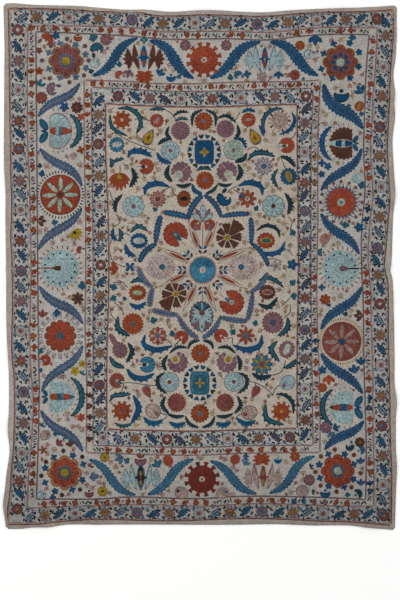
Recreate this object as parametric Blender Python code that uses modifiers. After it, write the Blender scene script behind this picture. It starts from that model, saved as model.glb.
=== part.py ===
"""Suzani: one embroidered cotton ground cloth with its narrow hem, lying flat on a surface.

Metres, +Z up, +Y towards the cloth's top edge. The origin is under the cloth's middle, on the surface that
it lies on.
"""
from collections import namedtuple

import bmesh
import bpy
import numpy as np

# Driving dimensions of the cloth
CLOTH_WIDTH = 1.732
CLOTH_LENGTH = 2.320
CLOTH_THICKNESS = 0.002
HEM_THICKNESS = 0.003
HEM_WIDTH = 0.009
CORNER_DRAW = 0.006  # how far the hem's turned corner is drawn in, each way

# The crease left by folding the cloth in half, which crosses it from side to side
CREASE_PLACE = -0.004
CREASE_SLOPE = 0.006  # rise from the middle to the right-hand edge
CREASE_HEIGHT_MIDDLE = 0.0015
CREASE_HEIGHT_EDGE = 0.0055
CREASE_SPREAD = 0.013

# Grid of the sheet: cells across and along, with closer rows at the crease
CELLS_ACROSS = 28
CELLS_ALONG = 44
CREASE_ROWS = (-0.030, -0.012, 0.0, 0.012, 0.030)

# How far each edge lies inside the rectangle of the cloth's largest width and length.
# "along" runs from the middle of that edge, upwards or to the right.
EdgePoint = namedtuple("EdgePoint", "along inset")
LEFT_EDGE = [
    EdgePoint(-1.160, 0.013),
    EdgePoint(-1.104, 0.007),
    EdgePoint(-1.052, 0.000),
    EdgePoint(-0.972, 0.008),
    EdgePoint(-0.915, 0.014),
    EdgePoint(-0.805, 0.028),
    EdgePoint(-0.720, 0.021),
    EdgePoint(-0.630, 0.025),
    EdgePoint(-0.475, 0.025),
    EdgePoint(-0.280, 0.015),
    EdgePoint(-0.013, 0.013),
    EdgePoint(0.180, 0.010),
    EdgePoint(0.360, 0.009),
    EdgePoint(0.430, 0.005),
    EdgePoint(0.680, 0.004),
    EdgePoint(0.955, 0.006),
    EdgePoint(1.160, 0.001),
]
RIGHT_EDGE = [
    EdgePoint(-1.160, 0.009),
    EdgePoint(-1.025, 0.005),
    EdgePoint(-0.870, 0.001),
    EdgePoint(-0.800, 0.004),
    EdgePoint(-0.675, 0.004),
    EdgePoint(-0.572, 0.002),
    EdgePoint(-0.530, 0.008),
    EdgePoint(-0.410, 0.010),
    EdgePoint(-0.255, 0.012),
    EdgePoint(-0.145, 0.016),
    EdgePoint(-0.044, 0.021),
    EdgePoint(-0.014, 0.029),
    EdgePoint(0.022, 0.024),
    EdgePoint(0.120, 0.020),
    EdgePoint(0.229, 0.016),
    EdgePoint(0.312, 0.008),
    EdgePoint(0.427, 0.013),
    EdgePoint(0.560, 0.019),
    EdgePoint(0.682, 0.008),
    EdgePoint(0.713, 0.012),
    EdgePoint(0.766, 0.008),
    EdgePoint(0.845, 0.015),
    EdgePoint(0.924, 0.005),
    EdgePoint(1.008, 0.002),
    EdgePoint(1.160, 0.000),
]
BOTTOM_EDGE = [
    EdgePoint(-0.866, 0.008),
    EdgePoint(-0.796, 0.008),
    EdgePoint(-0.748, 0.014),
    EdgePoint(-0.656, 0.017),
    EdgePoint(-0.629, 0.022),
    EdgePoint(-0.440, 0.026),
    EdgePoint(0.154, 0.026),
    EdgePoint(0.352, 0.028),
    EdgePoint(0.484, 0.023),
    EdgePoint(0.691, 0.020),
    EdgePoint(0.748, 0.013),
    EdgePoint(0.805, 0.008),
    EdgePoint(0.866, 0.002),
]
TOP_EDGE = [
    EdgePoint(-0.866, 0.002),
    EdgePoint(-0.845, 0.000),
    EdgePoint(-0.739, 0.006),
    EdgePoint(-0.598, 0.011),
    EdgePoint(-0.515, 0.013),
    EdgePoint(-0.440, 0.020),
    EdgePoint(-0.299, 0.028),
    EdgePoint(-0.260, 0.027),
    EdgePoint(-0.132, 0.037),
    EdgePoint(0.000, 0.031),
    EdgePoint(0.097, 0.032),
    EdgePoint(0.167, 0.036),
    EdgePoint(0.290, 0.039),
    EdgePoint(0.365, 0.033),
    EdgePoint(0.440, 0.028),
    EdgePoint(0.607, 0.022),
    EdgePoint(0.774, 0.015),
    EdgePoint(0.866, 0.009),
]

# Soft lifts where an edge doesn't lie quite flat: at that place along the edge, "height" above the surface,
# "spread" along the edge to each side and "reach" in from it
EdgeLift = namedtuple("EdgeLift", "along height spread reach")
LEFT_LIFTS = [
    EdgeLift(-1.060, 0.0060, 0.070, 0.110),
    EdgeLift(-0.720, 0.0070, 0.080, 0.130),
    EdgeLift(-0.380, 0.0040, 0.110, 0.100),
    EdgeLift(0.400, 0.0050, 0.090, 0.100),
    EdgeLift(0.860, 0.0035, 0.100, 0.090),
]
RIGHT_LIFTS = [
    EdgeLift(-0.880, 0.0050, 0.080, 0.110),
    EdgeLift(-0.590, 0.0060, 0.070, 0.110),
    EdgeLift(-0.140, 0.0045, 0.060, 0.090),
    EdgeLift(0.320, 0.0060, 0.080, 0.120),
    EdgeLift(0.730, 0.0070, 0.070, 0.120),
    EdgeLift(1.020, 0.0040, 0.060, 0.090),
]
TOP_LIFTS = [
    EdgeLift(-0.600, 0.0035, 0.110, 0.090),
    EdgeLift(0.020, 0.0050, 0.120, 0.100),
    EdgeLift(0.600, 0.0040, 0.110, 0.090),
]
BOTTOM_LIFTS = [
    EdgeLift(-0.700, 0.0040, 0.080, 0.080),
    EdgeLift(0.740, 0.0050, 0.080, 0.090),
]


def edge_inset(edge, along):
    """Smooth curve through an edge's points: a cubic on each stretch, level with its neighbours' chord."""
    place = np.array([point.along for point in edge])
    inset = np.array([point.inset for point in edge])
    slope = np.gradient(inset, place)
    along = np.clip(along, place[0], place[-1])
    i = np.clip(np.searchsorted(place, along, side="right") - 1, 0, len(place) - 2)
    step = place[i + 1] - place[i]
    t = (along - place[i]) / step
    return (
        inset[i] * (2 * t**3 - 3 * t**2 + 1)
        + step * slope[i] * (t**3 - 2 * t**2 + t)
        + inset[i + 1] * (3 * t**2 - 2 * t**3)
        + step * slope[i + 1] * (t**3 - t**2)
    )


def bell(distance, spread):
    """Smooth bump of height 1 that falls to nothing at the given spread."""
    t = np.clip(np.abs(distance) / spread, 0, 1)
    return (1 - t**2) ** 2


def lift_height(lifts, along, depth):
    """Highest of an edge's soft lifts at a place that far along the edge and that deep inside it."""
    return np.max([lift.height * bell(along - lift.along, lift.spread) * bell(depth, lift.reach)
                   for lift in lifts], axis=0)


def crease_height(x, y):
    """Soft ridge of the middle crease, higher and sharper towards the side edges."""
    side = np.abs(x) / (CLOTH_WIDTH / 2)
    height = CREASE_HEIGHT_MIDDLE + (CREASE_HEIGHT_EDGE - CREASE_HEIGHT_MIDDLE) * side**4
    middle = CREASE_PLACE + CREASE_SLOPE * x / (CLOTH_WIDTH / 2)
    return height * bell(y - middle, 2 * CREASE_SPREAD)


def cloth_rise(x, y):
    """Height of the cloth's underside above the surface: the highest of its edge lifts and its crease."""
    left = x + CLOTH_WIDTH / 2 - edge_inset(LEFT_EDGE, y)
    right = CLOTH_WIDTH / 2 - edge_inset(RIGHT_EDGE, y) - x
    bottom = y + CLOTH_LENGTH / 2 - edge_inset(BOTTOM_EDGE, x)
    top = CLOTH_LENGTH / 2 - edge_inset(TOP_EDGE, x) - y
    return np.max([
        lift_height(LEFT_LIFTS, y, left),
        lift_height(RIGHT_LIFTS, y, right),
        lift_height(BOTTOM_LIFTS, x, bottom),
        lift_height(TOP_LIFTS, x, top),
        crease_height(x, y),
    ], axis=0)


def cloth_point(u, v):
    """Underside of the cloth at nominal place u, v: a rectangle drawn in by its four edges."""
    across = u / CLOTH_WIDTH + 0.5
    upward = v / CLOTH_LENGTH + 0.5
    y = v + (1 - upward) * edge_inset(BOTTOM_EDGE, u) - upward * edge_inset(TOP_EDGE, u)
    x = u + (1 - across) * edge_inset(LEFT_EDGE, y) - across * edge_inset(RIGHT_EDGE, y)
    return x, y, cloth_rise(x, y)


def stations(size, cells, extra=()):
    """Grid lines across the given size: the hem's own at each end, even ones between, and the extra ones."""
    half = size / 2
    hem = half - HEM_WIDTH
    taper = hem - (HEM_THICKNESS - CLOTH_THICKNESS) * 3
    even = np.linspace(-taper, taper, cells - 3)
    if extra:
        keep = np.abs(even - np.mean(extra)) > (max(extra) - min(extra)) / 2 + 0.01
        even = np.concatenate([even[keep], extra])
    return np.sort(np.concatenate([[-half, -hem], even, [hem, half]]))


def empty_scene():
    for thing in list(bpy.data.objects):
        bpy.data.objects.remove(thing, do_unlink=True)


def cotton_material():
    """Unbleached hand-woven cotton, darkened with age."""
    material = bpy.data.materials.new("aged_cotton")
    material.use_nodes = True
    shader = material.node_tree.nodes["Principled BSDF"]
    shader.inputs["Base Color"].default_value = (0.43, 0.35, 0.28, 1.0)
    shader.inputs["Roughness"].default_value = 0.9
    shader.inputs["Metallic"].default_value = 0.0
    return material


def ground_cloth(collection):
    """The sheet's underside as a grid, thickened upwards, and thicker over the turned hem."""
    across = stations(CLOTH_WIDTH, CELLS_ACROSS)
    along = stations(CLOTH_LENGTH, CELLS_ALONG, CREASE_ROWS)
    shape = bmesh.new()
    bmesh.ops.create_grid(shape, x_segments=len(across) - 1, y_segments=len(along) - 1, size=1.0)
    shape.verts.ensure_lookup_table()
    column = [round((vert.co.x + 1) / 2 * (len(across) - 1)) for vert in shape.verts]
    row = [round((vert.co.y + 1) / 2 * (len(along) - 1)) for vert in shape.verts]
    u, v = across[column], along[row]
    x, y, z = cloth_point(u, v)
    corner = (np.abs(u) == across[-1]) & (np.abs(v) == along[-1])
    x = np.where(corner, x - np.sign(x) * CORNER_DRAW, x)
    y = np.where(corner, y - np.sign(y) * CORNER_DRAW, y)
    x = x - (x.min() + x.max()) / 2
    y = y - (y.min() + y.max()) / 2
    for vert, place in zip(shape.verts, np.column_stack([x, y, z])):
        vert.co = place
    mesh = bpy.data.meshes.new("ground_cloth")
    shape.to_mesh(mesh)
    shape.free()
    mesh.materials.append(cotton_material())
    cloth = bpy.data.objects.new("ground_cloth", mesh)
    collection.objects.link(cloth)

    in_hem = (np.abs(u) >= across[-2]) | (np.abs(v) >= along[-2])
    hem = cloth.vertex_groups.new(name="hem")
    hem.add([int(i) for i in np.flatnonzero(in_hem)], 1.0, "REPLACE")
    solidify = cloth.modifiers.new("thickness", "SOLIDIFY")
    solidify.thickness = HEM_THICKNESS
    solidify.vertex_group = hem.name
    solidify.thickness_vertex_group = CLOTH_THICKNESS / HEM_THICKNESS
    solidify.offset = 1.0
    mesh.shade_smooth()
    mesh.set_sharp_from_angle(angle=np.radians(40))
    return cloth


def build():
    empty_scene()
    collection = bpy.data.collections.new("suzani")
    bpy.context.scene.collection.children.link(collection)
    ground_cloth(collection)


build()
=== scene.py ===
import bpy
import numpy as np
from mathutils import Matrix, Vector


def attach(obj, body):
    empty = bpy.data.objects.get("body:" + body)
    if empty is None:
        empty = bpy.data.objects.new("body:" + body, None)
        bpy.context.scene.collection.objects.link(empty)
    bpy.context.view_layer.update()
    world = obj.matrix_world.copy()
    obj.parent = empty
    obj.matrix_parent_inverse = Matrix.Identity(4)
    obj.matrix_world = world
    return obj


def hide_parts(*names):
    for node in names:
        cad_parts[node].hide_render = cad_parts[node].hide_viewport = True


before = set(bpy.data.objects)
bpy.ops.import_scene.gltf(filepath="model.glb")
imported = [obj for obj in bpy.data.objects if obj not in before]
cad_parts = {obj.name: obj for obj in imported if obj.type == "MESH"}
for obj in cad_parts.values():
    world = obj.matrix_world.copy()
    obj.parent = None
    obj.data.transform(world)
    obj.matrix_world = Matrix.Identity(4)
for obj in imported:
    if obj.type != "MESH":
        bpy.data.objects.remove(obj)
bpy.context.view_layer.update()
print("suzani: frame loaded")

# Metres, +Z up out of the embroidered face, +Y towards the cloth's top edge.
# Places are read from the photograph's 400 x 600 frame, and sizes are millimetres on the real cloth.
photo = dict(pitch=0.0044, middleX=200.0, middleY=267.0, high=600)
mm = 0.001


# Photo place to metres: its distance from the cloth's middle times the pixel pitch
def at(px, py):
    return np.stack([(np.asarray(px, float) - photo["middleX"]) * photo["pitch"],
                     (photo["middleY"] - np.asarray(py, float)) * photo["pitch"]], axis=-1)


# sRGB hex to linear red, green, blue
def linear(code):
    value = np.array([int(code[i:i + 2], 16) for i in (1, 3, 5)]) / 255
    return np.where(value <= 0.04045, value / 12.92, ((value + 0.055) / 1.055) ** 2.4)


# Thread colours, as the aged dyes look in even light
dyes = dict(
    madder="#7A3421", brick="#643732", rust="#72351A", ochre="#6E5730", weld="#806A1C", walnut="#44291F",
    mauve="#644A50", paleMauve="#88776F", rose="#80605A", plum="#3A384C", indigo="#173C5A",
    deepBlue="#053A5A", slateBlue="#40566A", sky="#2B5B70", teal="#1F4A58", darkTeal="#152A31",
    paleBlue="#7C8F90", mist="#8C9493", paleGreen="#808C7C", ink="#131519", ivory="#9A9086",
    hubBlue="#35697F", ribPale="#93857F", oxblood="#5C221A", umber="#6A4C3A", ashMauve="#75625F",
    lineRed="#57302A", linePink="#87655B",
)

# The cloth's sizes in metres, the cells of its grid, and the reach and step of the finer rows at its crease
cloth = dict(width=1.732, length=2.320, thick=0.002, hemThick=0.003, hemWide=0.009, cornerDraw=0.006,
             cellsAcross=150, cellsAlong=200, fineReach=0.034, fineStep=0.004, pucker=0.00035)
# Its edges: how far each lies inside the largest width and length, in metres, by place along it
edges = dict(
    left=dict(along=[-1.160, -1.104, -1.052, -0.972, -0.915, -0.805, -0.720, -0.630, -0.475, -0.280, -0.013,
                     0.180, 0.360, 0.430, 0.680, 0.955, 1.160],
              inset=[0.013, 0.007, 0.000, 0.008, 0.014, 0.028, 0.021, 0.025, 0.025, 0.015, 0.013,
                     0.010, 0.009, 0.005, 0.004, 0.006, 0.001]),
    right=dict(along=[-1.160, -1.025, -0.870, -0.800, -0.675, -0.572, -0.530, -0.410, -0.255, -0.145, -0.044,
                      -0.014, 0.022, 0.120, 0.229, 0.312, 0.427, 0.560, 0.682, 0.713, 0.766, 0.845, 0.924,
                      1.008, 1.160],
               inset=[0.009, 0.005, 0.001, 0.004, 0.004, 0.002, 0.008, 0.010, 0.012, 0.016, 0.021,
                      0.029, 0.024, 0.020, 0.016, 0.008, 0.013, 0.019, 0.008, 0.012, 0.008, 0.015, 0.005,
                      0.002, 0.000]),
    bottom=dict(along=[-0.866, -0.796, -0.748, -0.656, -0.629, -0.440, 0.154, 0.352, 0.484, 0.691, 0.748,
                       0.805, 0.866],
                inset=[0.008, 0.008, 0.014, 0.017, 0.022, 0.026, 0.026, 0.028, 0.023, 0.020, 0.013,
                       0.008, 0.002]),
    top=dict(along=[-0.866, -0.845, -0.739, -0.598, -0.515, -0.440, -0.299, -0.260, -0.132, 0.000, 0.097,
                    0.167, 0.290, 0.365, 0.440, 0.607, 0.774, 0.866],
             inset=[0.002, 0.000, 0.006, 0.011, 0.013, 0.020, 0.028, 0.027, 0.037, 0.031, 0.032,
                    0.036, 0.039, 0.033, 0.028, 0.022, 0.015, 0.009]),
)
# Soft lifts of the edges: place along the edge, height, spread along it and reach in from it, in metres
lifts = dict(
    left=[(-1.060, 0.0060, 0.070, 0.110), (-0.720, 0.0070, 0.080, 0.130), (-0.380, 0.0040, 0.110, 0.100),
          (0.400, 0.0050, 0.090, 0.100), (0.860, 0.0035, 0.100, 0.090)],
    right=[(-0.880, 0.0050, 0.080, 0.110), (-0.590, 0.0060, 0.070, 0.110), (-0.140, 0.0045, 0.060, 0.090),
           (0.320, 0.0060, 0.080, 0.120), (0.730, 0.0070, 0.070, 0.120), (1.020, 0.0040, 0.060, 0.090)],
    top=[(-0.600, 0.0035, 0.110, 0.090), (0.020, 0.0050, 0.120, 0.100), (0.600, 0.0040, 0.110, 0.090)],
    bottom=[(-0.700, 0.0040, 0.080, 0.080), (0.740, 0.0050, 0.080, 0.090)],
)
crease = dict(place=-0.004, slope=0.006, middleHeight=0.0015, edgeHeight=0.0055, spread=0.013)


# Smooth curve through points: a cubic on each stretch, level with its neighbours' chord
def smooth(along, values, place):
    along, values = np.asarray(along, float), np.asarray(values, float)
    slope = np.gradient(values, along)
    place = np.clip(place, along[0], along[-1])
    i = np.clip(np.searchsorted(along, place, side="right") - 1, 0, len(along) - 2)
    step = along[i + 1] - along[i]
    t = (place - along[i]) / step
    return (values[i] * (2 * t**3 - 3 * t**2 + 1) + step * slope[i] * (t**3 - 2 * t**2 + t)
            + values[i + 1] * (3 * t**2 - 2 * t**3) + step * slope[i + 1] * (t**3 - t**2))


# How far an edge lies inside the cloth's largest size, at a place along it
def inset(side, place):
    return smooth(edges[side]["along"], edges[side]["inset"], place)


# Smooth bump of height 1 that falls to nothing at the given spread
def bell(distance, spread):
    return (1 - np.clip(np.abs(distance) / spread, 0, 1) ** 2) ** 2


# Underside of the cloth above the floor: the highest of its edge lifts and of its middle crease
def clothRise(x, y):
    halfWide, halfLong = cloth["width"] / 2, cloth["length"] / 2
    depths = dict(left=(y, x + halfWide - inset("left", y)), right=(y, halfWide - inset("right", y) - x),
                  bottom=(x, y + halfLong - inset("bottom", x)), top=(x, halfLong - inset("top", x) - y))
    share = np.abs(x) / halfWide
    ridge = crease["middleHeight"] + (crease["edgeHeight"] - crease["middleHeight"]) * share**4
    rise = ridge * bell(y - crease["place"] - crease["slope"] * x / halfWide, 2 * crease["spread"])
    for side, (along, depth) in depths.items():
        for place, height, spread, reach in lifts[side]:
            rise = np.maximum(rise, height * bell(along - place, spread) * bell(depth, reach))
    return rise


# Upper face of the cloth: its underside, its thickness and a slight pucker of crossed waves
def clothTop(x, y):
    wave = np.sin(61 * x + 9 * np.sin(7 * y)) * np.sin(53 * y + 8 * np.sin(6 * x))
    return clothRise(x, y) + cloth["thick"] + cloth["pucker"] * wave


# Every stitched patch is kept here by piece until the pieces are made
sewn = {}
# Height of each layer of stitching over the cloth, then the width of a patch's rim, its drop and the crown
layerHeight = dict(line=0.35 * mm, under=0.5 * mm, fill=0.75 * mm, detail=1.0 * mm, centre=1.25 * mm,
                   top=1.5 * mm)
rimWide, rimDrop, crown = 0.6 * mm, -0.2 * mm, 0.12 * mm
# Rings of points in a round patch are this far apart, and the fine step is for those that cross the crease
fineRing, wideRing = 6 * mm, 30 * mm
curlWide, stemWide = 1.8 * mm, 2.0 * mm


# Notes a patch: its points, their height over the cloth, its dye, its stitches' direction and its faces
def keepPatch(piece, xy, height, dye, grain, quads, tris=()):
    sewn.setdefault(piece, []).append((xy, height, linear(dyes[dye]), grain,
                                       np.asarray(quads, int).reshape(-1, 4),
                                       np.asarray(tris, int).reshape(-1, 3)))


# Round patch: r = radius * edge(angle), flattened by tall and turned, with its rim drawn into the cloth
def sewRound(piece, centre, radius, dye, layer="fill", edge=None, sides=28, tall=1.0, turn=0.0, hole=0.0):
    angle = np.linspace(0, 2 * np.pi, sides, endpoint=False)
    reach = radius * (np.ones(sides) if edge is None else edge(angle))
    rim = min(rimWide, radius * 0.3)
    top = layerHeight[layer]
    if hole:
        rings = [reach * hole, reach * hole + rim, reach - rim, reach]
        heights = [rimDrop, top, top, rimDrop]
    elif radius > fineRing:
        onCrease = abs(centre[1] - crease["place"]) < radius + 2 * crease["spread"]
        steps = 1 + int(radius / (fineRing if onCrease else wideRing))
        shares = np.arange(1, steps + 1) / (steps + 1)
        rings = [reach * share for share in shares] + [reach - rim, reach]
        heights = [*(top + crown * (1 - shares**2)), top, rimDrop]
    else:
        rings = [reach - rim, reach]
        heights = [top, rimDrop]
    x = np.array(rings) * np.cos(angle)
    y = np.array(rings) * np.sin(angle) * tall
    c, s = np.cos(np.radians(turn)), np.sin(np.radians(turn))
    xy = np.stack([centre[0] + x * c - y * s, centre[1] + x * s + y * c], -1).reshape(-1, 2)
    height = np.repeat(heights, sides)
    i = np.arange(sides)
    j = (i + 1) % sides
    row = np.arange(len(rings) - 1)[:, None] * sides
    quads = np.stack([row + i, row + sides + i, row + sides + j, row + j], -1).reshape(-1, 4)
    tris = ()
    if not hole:
        xy = np.vstack([xy, centre])
        height = np.append(height, top + crown)
        tris = np.stack([np.full(sides, len(xy) - 1), i, j], -1)
    keepPatch(piece, xy, height, dye, np.radians(turn), quads, tris)


# Strip along a path: path + normal * half width * s, with s from -1 to 1; wide may be a pair, left and right
def sewAlong(piece, path, wide, dye, layer="fill", thin=False):
    path = np.asarray(path, float)
    left, right = wide if isinstance(wide, tuple) else (wide, wide)
    n = len(path)
    left, right = np.broadcast_to(left, n) + 0.0, np.broadcast_to(right, n) + 0.0
    along = np.gradient(path, axis=0)
    along /= np.maximum(np.linalg.norm(along, axis=1), 1e-9)[:, None]
    normal = np.stack([-along[:, 1], along[:, 0]], -1)
    top = layerHeight[layer]
    if thin:
        share, lift = np.array([-1, -0.72, 0.72, 1]), np.array([rimDrop, top, top, rimDrop])
    else:
        share = np.array([-1, -0.84, 0, 0.84, 1])
        lift = np.array([rimDrop, top, top + crown, top, rimDrop])
    side = np.where(share[None, :] < 0, right[:, None], left[:, None]) * share
    xy = path[:, None, :] + normal[:, None, :] * side[..., None]
    height = np.tile(lift, (n, 1))
    height[[0, -1]] = rimDrop
    k = len(share)
    i = np.arange(n - 1)[:, None] * k + np.arange(k - 1)
    quads = np.stack([i, i + k, i + k + 1, i + 1], -1).reshape(-1, 4)
    lean = along.mean(0)
    keepPatch(piece, xy.reshape(-1, 2), height.ravel(), dye, np.arctan2(lean[1], lean[0]), quads)


# Smooth path through places: each coordinate a cubic of the distance along their chords
def bent(places, count=24):
    chord = np.append(0, np.cumsum(np.linalg.norm(np.diff(places, axis=0), axis=1)))
    t = np.linspace(0, chord[-1], count)
    return np.stack([smooth(chord, places[:, 0], t), smooth(chord, places[:, 1], t)], -1)


# Smooth path through photo places
def curve(points, count=24):
    return bent(at(*np.asarray(points, float).T), count)


# Circular path about a centre in metres, from one angle to another in degrees, anticlockwise from +X
def arc(centre, radius, start, end, count=20):
    angle = np.radians(np.linspace(start, end, count))
    return np.stack([centre[0] + radius * np.cos(angle), centre[1] + radius * np.sin(angle)], -1)


# Place at a distance and an angle in degrees from a centre, in metres
def turned(centre, distance, angle):
    return np.array([centre[0] + distance * np.cos(np.radians(angle)),
                     centre[1] + distance * np.sin(np.radians(angle))])


# Almond half-width from 0 at both ends to 1: a sine of the place along, its widest part moved by lean
def taper(n, power=0.7, lean=0.0):
    t = np.linspace(0, 1, n) ** (1 + lean)
    return np.maximum(np.sin(np.pi * t), 0) ** power + 0.02


# Edge of rounded lobes: 1 less a share where the half-angle cosine falls off
def lobes(count, depth, sharp=0.5):
    return lambda angle: 1 - depth + depth * np.abs(np.cos(count * angle / 2)) ** sharp


# Edge of pointed rays: a triangle wave of the angle
def points(count, depth):
    return lambda angle: 1 - depth + depth * np.abs(2 * np.mod(count * angle / (2 * np.pi), 1) - 1)


# Saw-tooth share for a strip's edge: each tooth widens towards the tip and then steps back
def teeth(n, count, depth):
    t = np.linspace(0, 1, n)
    return 1 - depth * np.mod(-t * count, 1)


# Petal: an almond strip from a start distance out along an angle
def petal(piece, centre, length, wide, angle, dye, layer="fill", start=0.0, power=0.6, lean=0.0, count=9):
    a, b = turned(centre, start, angle), turned(centre, start + length, angle)
    path = a + (b - a) * np.linspace(0, 1, count)[:, None]
    sewAlong(piece, path, wide * taper(count, power, lean), dye, layer)


# Single straight stitch between two places in metres
def tick(piece, a, b, wide, dye, layer="line"):
    path = np.asarray(a) + (np.asarray(b) - np.asarray(a)) * np.linspace(0, 1, 4)[:, None]
    sewAlong(piece, path, wide * np.array([0.6, 1, 1, 0.6]), dye, layer, thin=True)


# Small eight-sided round
def dot(piece, centre, radius, dye, layer="detail"):
    sewRound(piece, centre, radius, dye, layer, sides=8)


# Calls draw(place, angle) at even steps round a circle
def ring(centre, distance, count, draw, phase=0.0):
    for k in range(count):
        angle = phase + 360 * k / count
        draw(turned(centre, distance, angle), angle)


# Thin line along a path
def stem(piece, path, wide, dye, layer="line"):
    sewAlong(piece, path, wide, dye, layer, thin=True)


# Path moved sideways, to its left, by a distance
def beside(path, distance):
    along = np.gradient(path, axis=0)
    along /= np.maximum(np.linalg.norm(along, axis=1), 1e-9)[:, None]
    return path + np.stack([-along[:, 1], along[:, 0]], -1) * np.broadcast_to(distance, len(path))[:, None]


print("suzani: drawing the lines and the bands")

# The six ruled lines, outermost first, in photo pixels: place along each side, and how far across the photo
lines = [
    dict(left=([8, 45, 100, 165, 215, 235, 262, 300, 360, 375, 400, 452, 470, 485, 510, 524],
               [8.1, 8.9, 9.5, 10.5, 11.5, 10.6, 11.8, 12.4, 12.3, 13.7, 14.3, 13.0, 11.2, 10.5, 7.7, 7.2]),
         top=([8, 32, 70, 100, 145, 154, 170, 200, 232, 260, 276, 300, 325, 364, 394],
              [8.0, 8.4, 9.8, 11.5, 13.4, 15.3, 15.9, 15.0, 15.3, 16.3, 15.6, 13.4, 12.4, 11.5, 9.6]),
         right=([9, 30, 55, 80, 110, 150, 180, 200, 225, 250, 270, 277, 300, 340, 375, 440, 480, 525],
                [394.4, 393.8, 391.8, 390.3, 389.2, 387.7, 389.0, 389.9, 388.0, 386.1, 384.9, 387.0, 388.3,
                 388.6, 389.5, 390.6, 391.8, 391.2]),
         bottom=([7, 37, 54, 70, 176, 257, 300, 325, 355, 376, 391],
                 [524.6, 524.3, 522.4, 520.9, 520.8, 518.7, 520.2, 521.5, 522.3, 524.0, 525.4])),
    dict(left=([26, 150, 190, 262, 375, 390, 440, 480, 509],
               [27.2, 27.6, 29.3, 30.6, 30.8, 32.4, 31.3, 28.0, 26.8]),
         top=([27, 100, 138, 157, 200, 245, 264, 300, 319, 378],
              [25.5, 26.0, 28.0, 30.9, 31.0, 31.4, 32.2, 29.0, 27.4, 27.3]),
         right=([27, 75, 90, 120, 150, 175, 195, 220, 260, 285, 335, 375, 410, 450, 507],
                [377.8, 375.3, 373.8, 372.4, 370.8, 372.0, 373.3, 370.5, 368.6, 370.5, 372.0, 373.0, 373.1,
                 374.0, 374.2]),
         bottom=([27, 61, 91, 125, 154, 200, 251, 270, 300, 332, 374],
                 [508.5, 507.0, 506.4, 505.0, 505.2, 506.7, 504.3, 504.2, 505.0, 506.4, 506.6])),
    dict(left=([31, 180, 260, 335, 390, 440, 500], [35.5, 36.7, 37.3, 38.0, 38.9, 38.0, 36.0]),
         top=([35, 100, 138, 157, 230, 270, 300, 319, 369],
              [31.3, 34.0, 36.4, 38.3, 38.4, 39.5, 36.0, 34.5, 34.3]),
         right=([34, 75, 110, 150, 190, 225, 265, 300, 350, 410, 450, 500],
                [369.5, 366.3, 365.0, 364.0, 365.4, 362.2, 362.0, 363.5, 364.0, 365.7, 366.6, 366.0]),
         bottom=([36, 54, 100, 128, 170, 200, 235, 300, 345, 366],
                 [499.6, 499.4, 499.3, 497.3, 498.5, 499.0, 497.0, 497.2, 498.8, 500.0])),
    dict(left=([80, 150, 190, 262, 335, 380, 453], [83.9, 84.0, 84.8, 85.5, 84.9, 86.3, 86.0]),
         top=([84, 132, 160, 200, 232, 300, 320], [79.8, 81.4, 83.3, 83.2, 82.0, 80.9, 79.8]),
         right=([80, 115, 150, 225, 300, 340, 380, 453],
                [320.7, 319.0, 318.2, 318.1, 317.1, 318.2, 319.8, 320.4]),
         bottom=([86, 100, 145, 200, 245, 300, 320], [453.0, 453.3, 454.8, 455.4, 453.5, 453.0, 453.0])),
    dict(left=([87, 150, 262, 446], [90.8, 91.4, 92.6, 92.4]),
         top=([91, 132, 157, 200, 245, 276, 313], [86.6, 88.7, 90.5, 91.0, 90.0, 88.3, 88.0]),
         right=([88, 150, 262, 446], [313.6, 311.8, 311.4, 313.6]),
         bottom=([92, 138, 200, 251, 313], [445.7, 447.0, 447.8, 446.0, 445.8])),
    dict(left=([103, 150, 190, 225, 300, 340, 400, 429],
               [105.2, 105.4, 107.0, 108.2, 108.3, 107.0, 106.5, 106.8]),
         top=([105, 138, 164, 232, 257, 298], [103.4, 105.3, 106.2, 106.3, 105.0, 104.2]),
         right=([104, 150, 200, 300, 340, 429], [297.3, 297.5, 298.3, 298.3, 297.5, 297.4]),
         bottom=([107, 138, 200, 251, 297], [429.5, 430.5, 431.4, 429.8, 428.7])),
]
# Each line's cord and the row beside it: dye and half width of each, and the row's distance inwards, in mm
lineLook = [("lineRed", 2.4, "linePink", 2.6, 5.0), ("linePink", 2.8, "plum", 1.1, 3.6),
            ("lineRed", 1.9, "plum", 1.3, 3.6), ("plum", 1.4, "linePink", 2.2, 3.6),
            ("linePink", 2.2, "plum", 1.3, 3.4), ("lineRed", 2.4, "linePink", 1.8, 4.2)]
sides = ("left", "top", "right", "bottom")
inwards = dict(left=(1, 0), top=(0, -1), right=(-1, 0), bottom=(0, 1))


# How far across the photo a ruled line lies, at a place along a side
def lineAt(number, side, place):
    return smooth(*lines[number][side], place)


# Photo place on a side: the columns run down the left and right sides and along the top and bottom
def sidePlace(side, place, across):
    return (across, place) if side in ("left", "right") else (place, across)


# Place between a line and the next one outwards, in metres, at a share of the way in
def middleOf(inner, side, place, share=0.5):
    outer, near = lineAt(inner - 1, side, place), lineAt(inner, side, place)
    return at(*sidePlace(side, place, outer + (near - outer) * share))


# Each line is a couched cord with a slight waver, and a row of another dye beside it on its inner side
def ruledLines():
    for number, (dye, halfWide, rowDye, rowWide, apart) in enumerate(lineLook):
        for side in sides:
            along, across = lines[number][side]
            place = np.linspace(along[0], along[-1], int((along[-1] - along[0]) / 2.5))
            path = at(*sidePlace(side, place, lineAt(number, side, place)))
            path += 0.5 * mm * np.sin(place * 1.7 + number)[:, None]
            stem("ruledLines", path + apart * mm * np.array(inwards[side]), rowWide * mm, rowDye)
            stem("ruledLines", path, halfWide * mm, dye)


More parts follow.
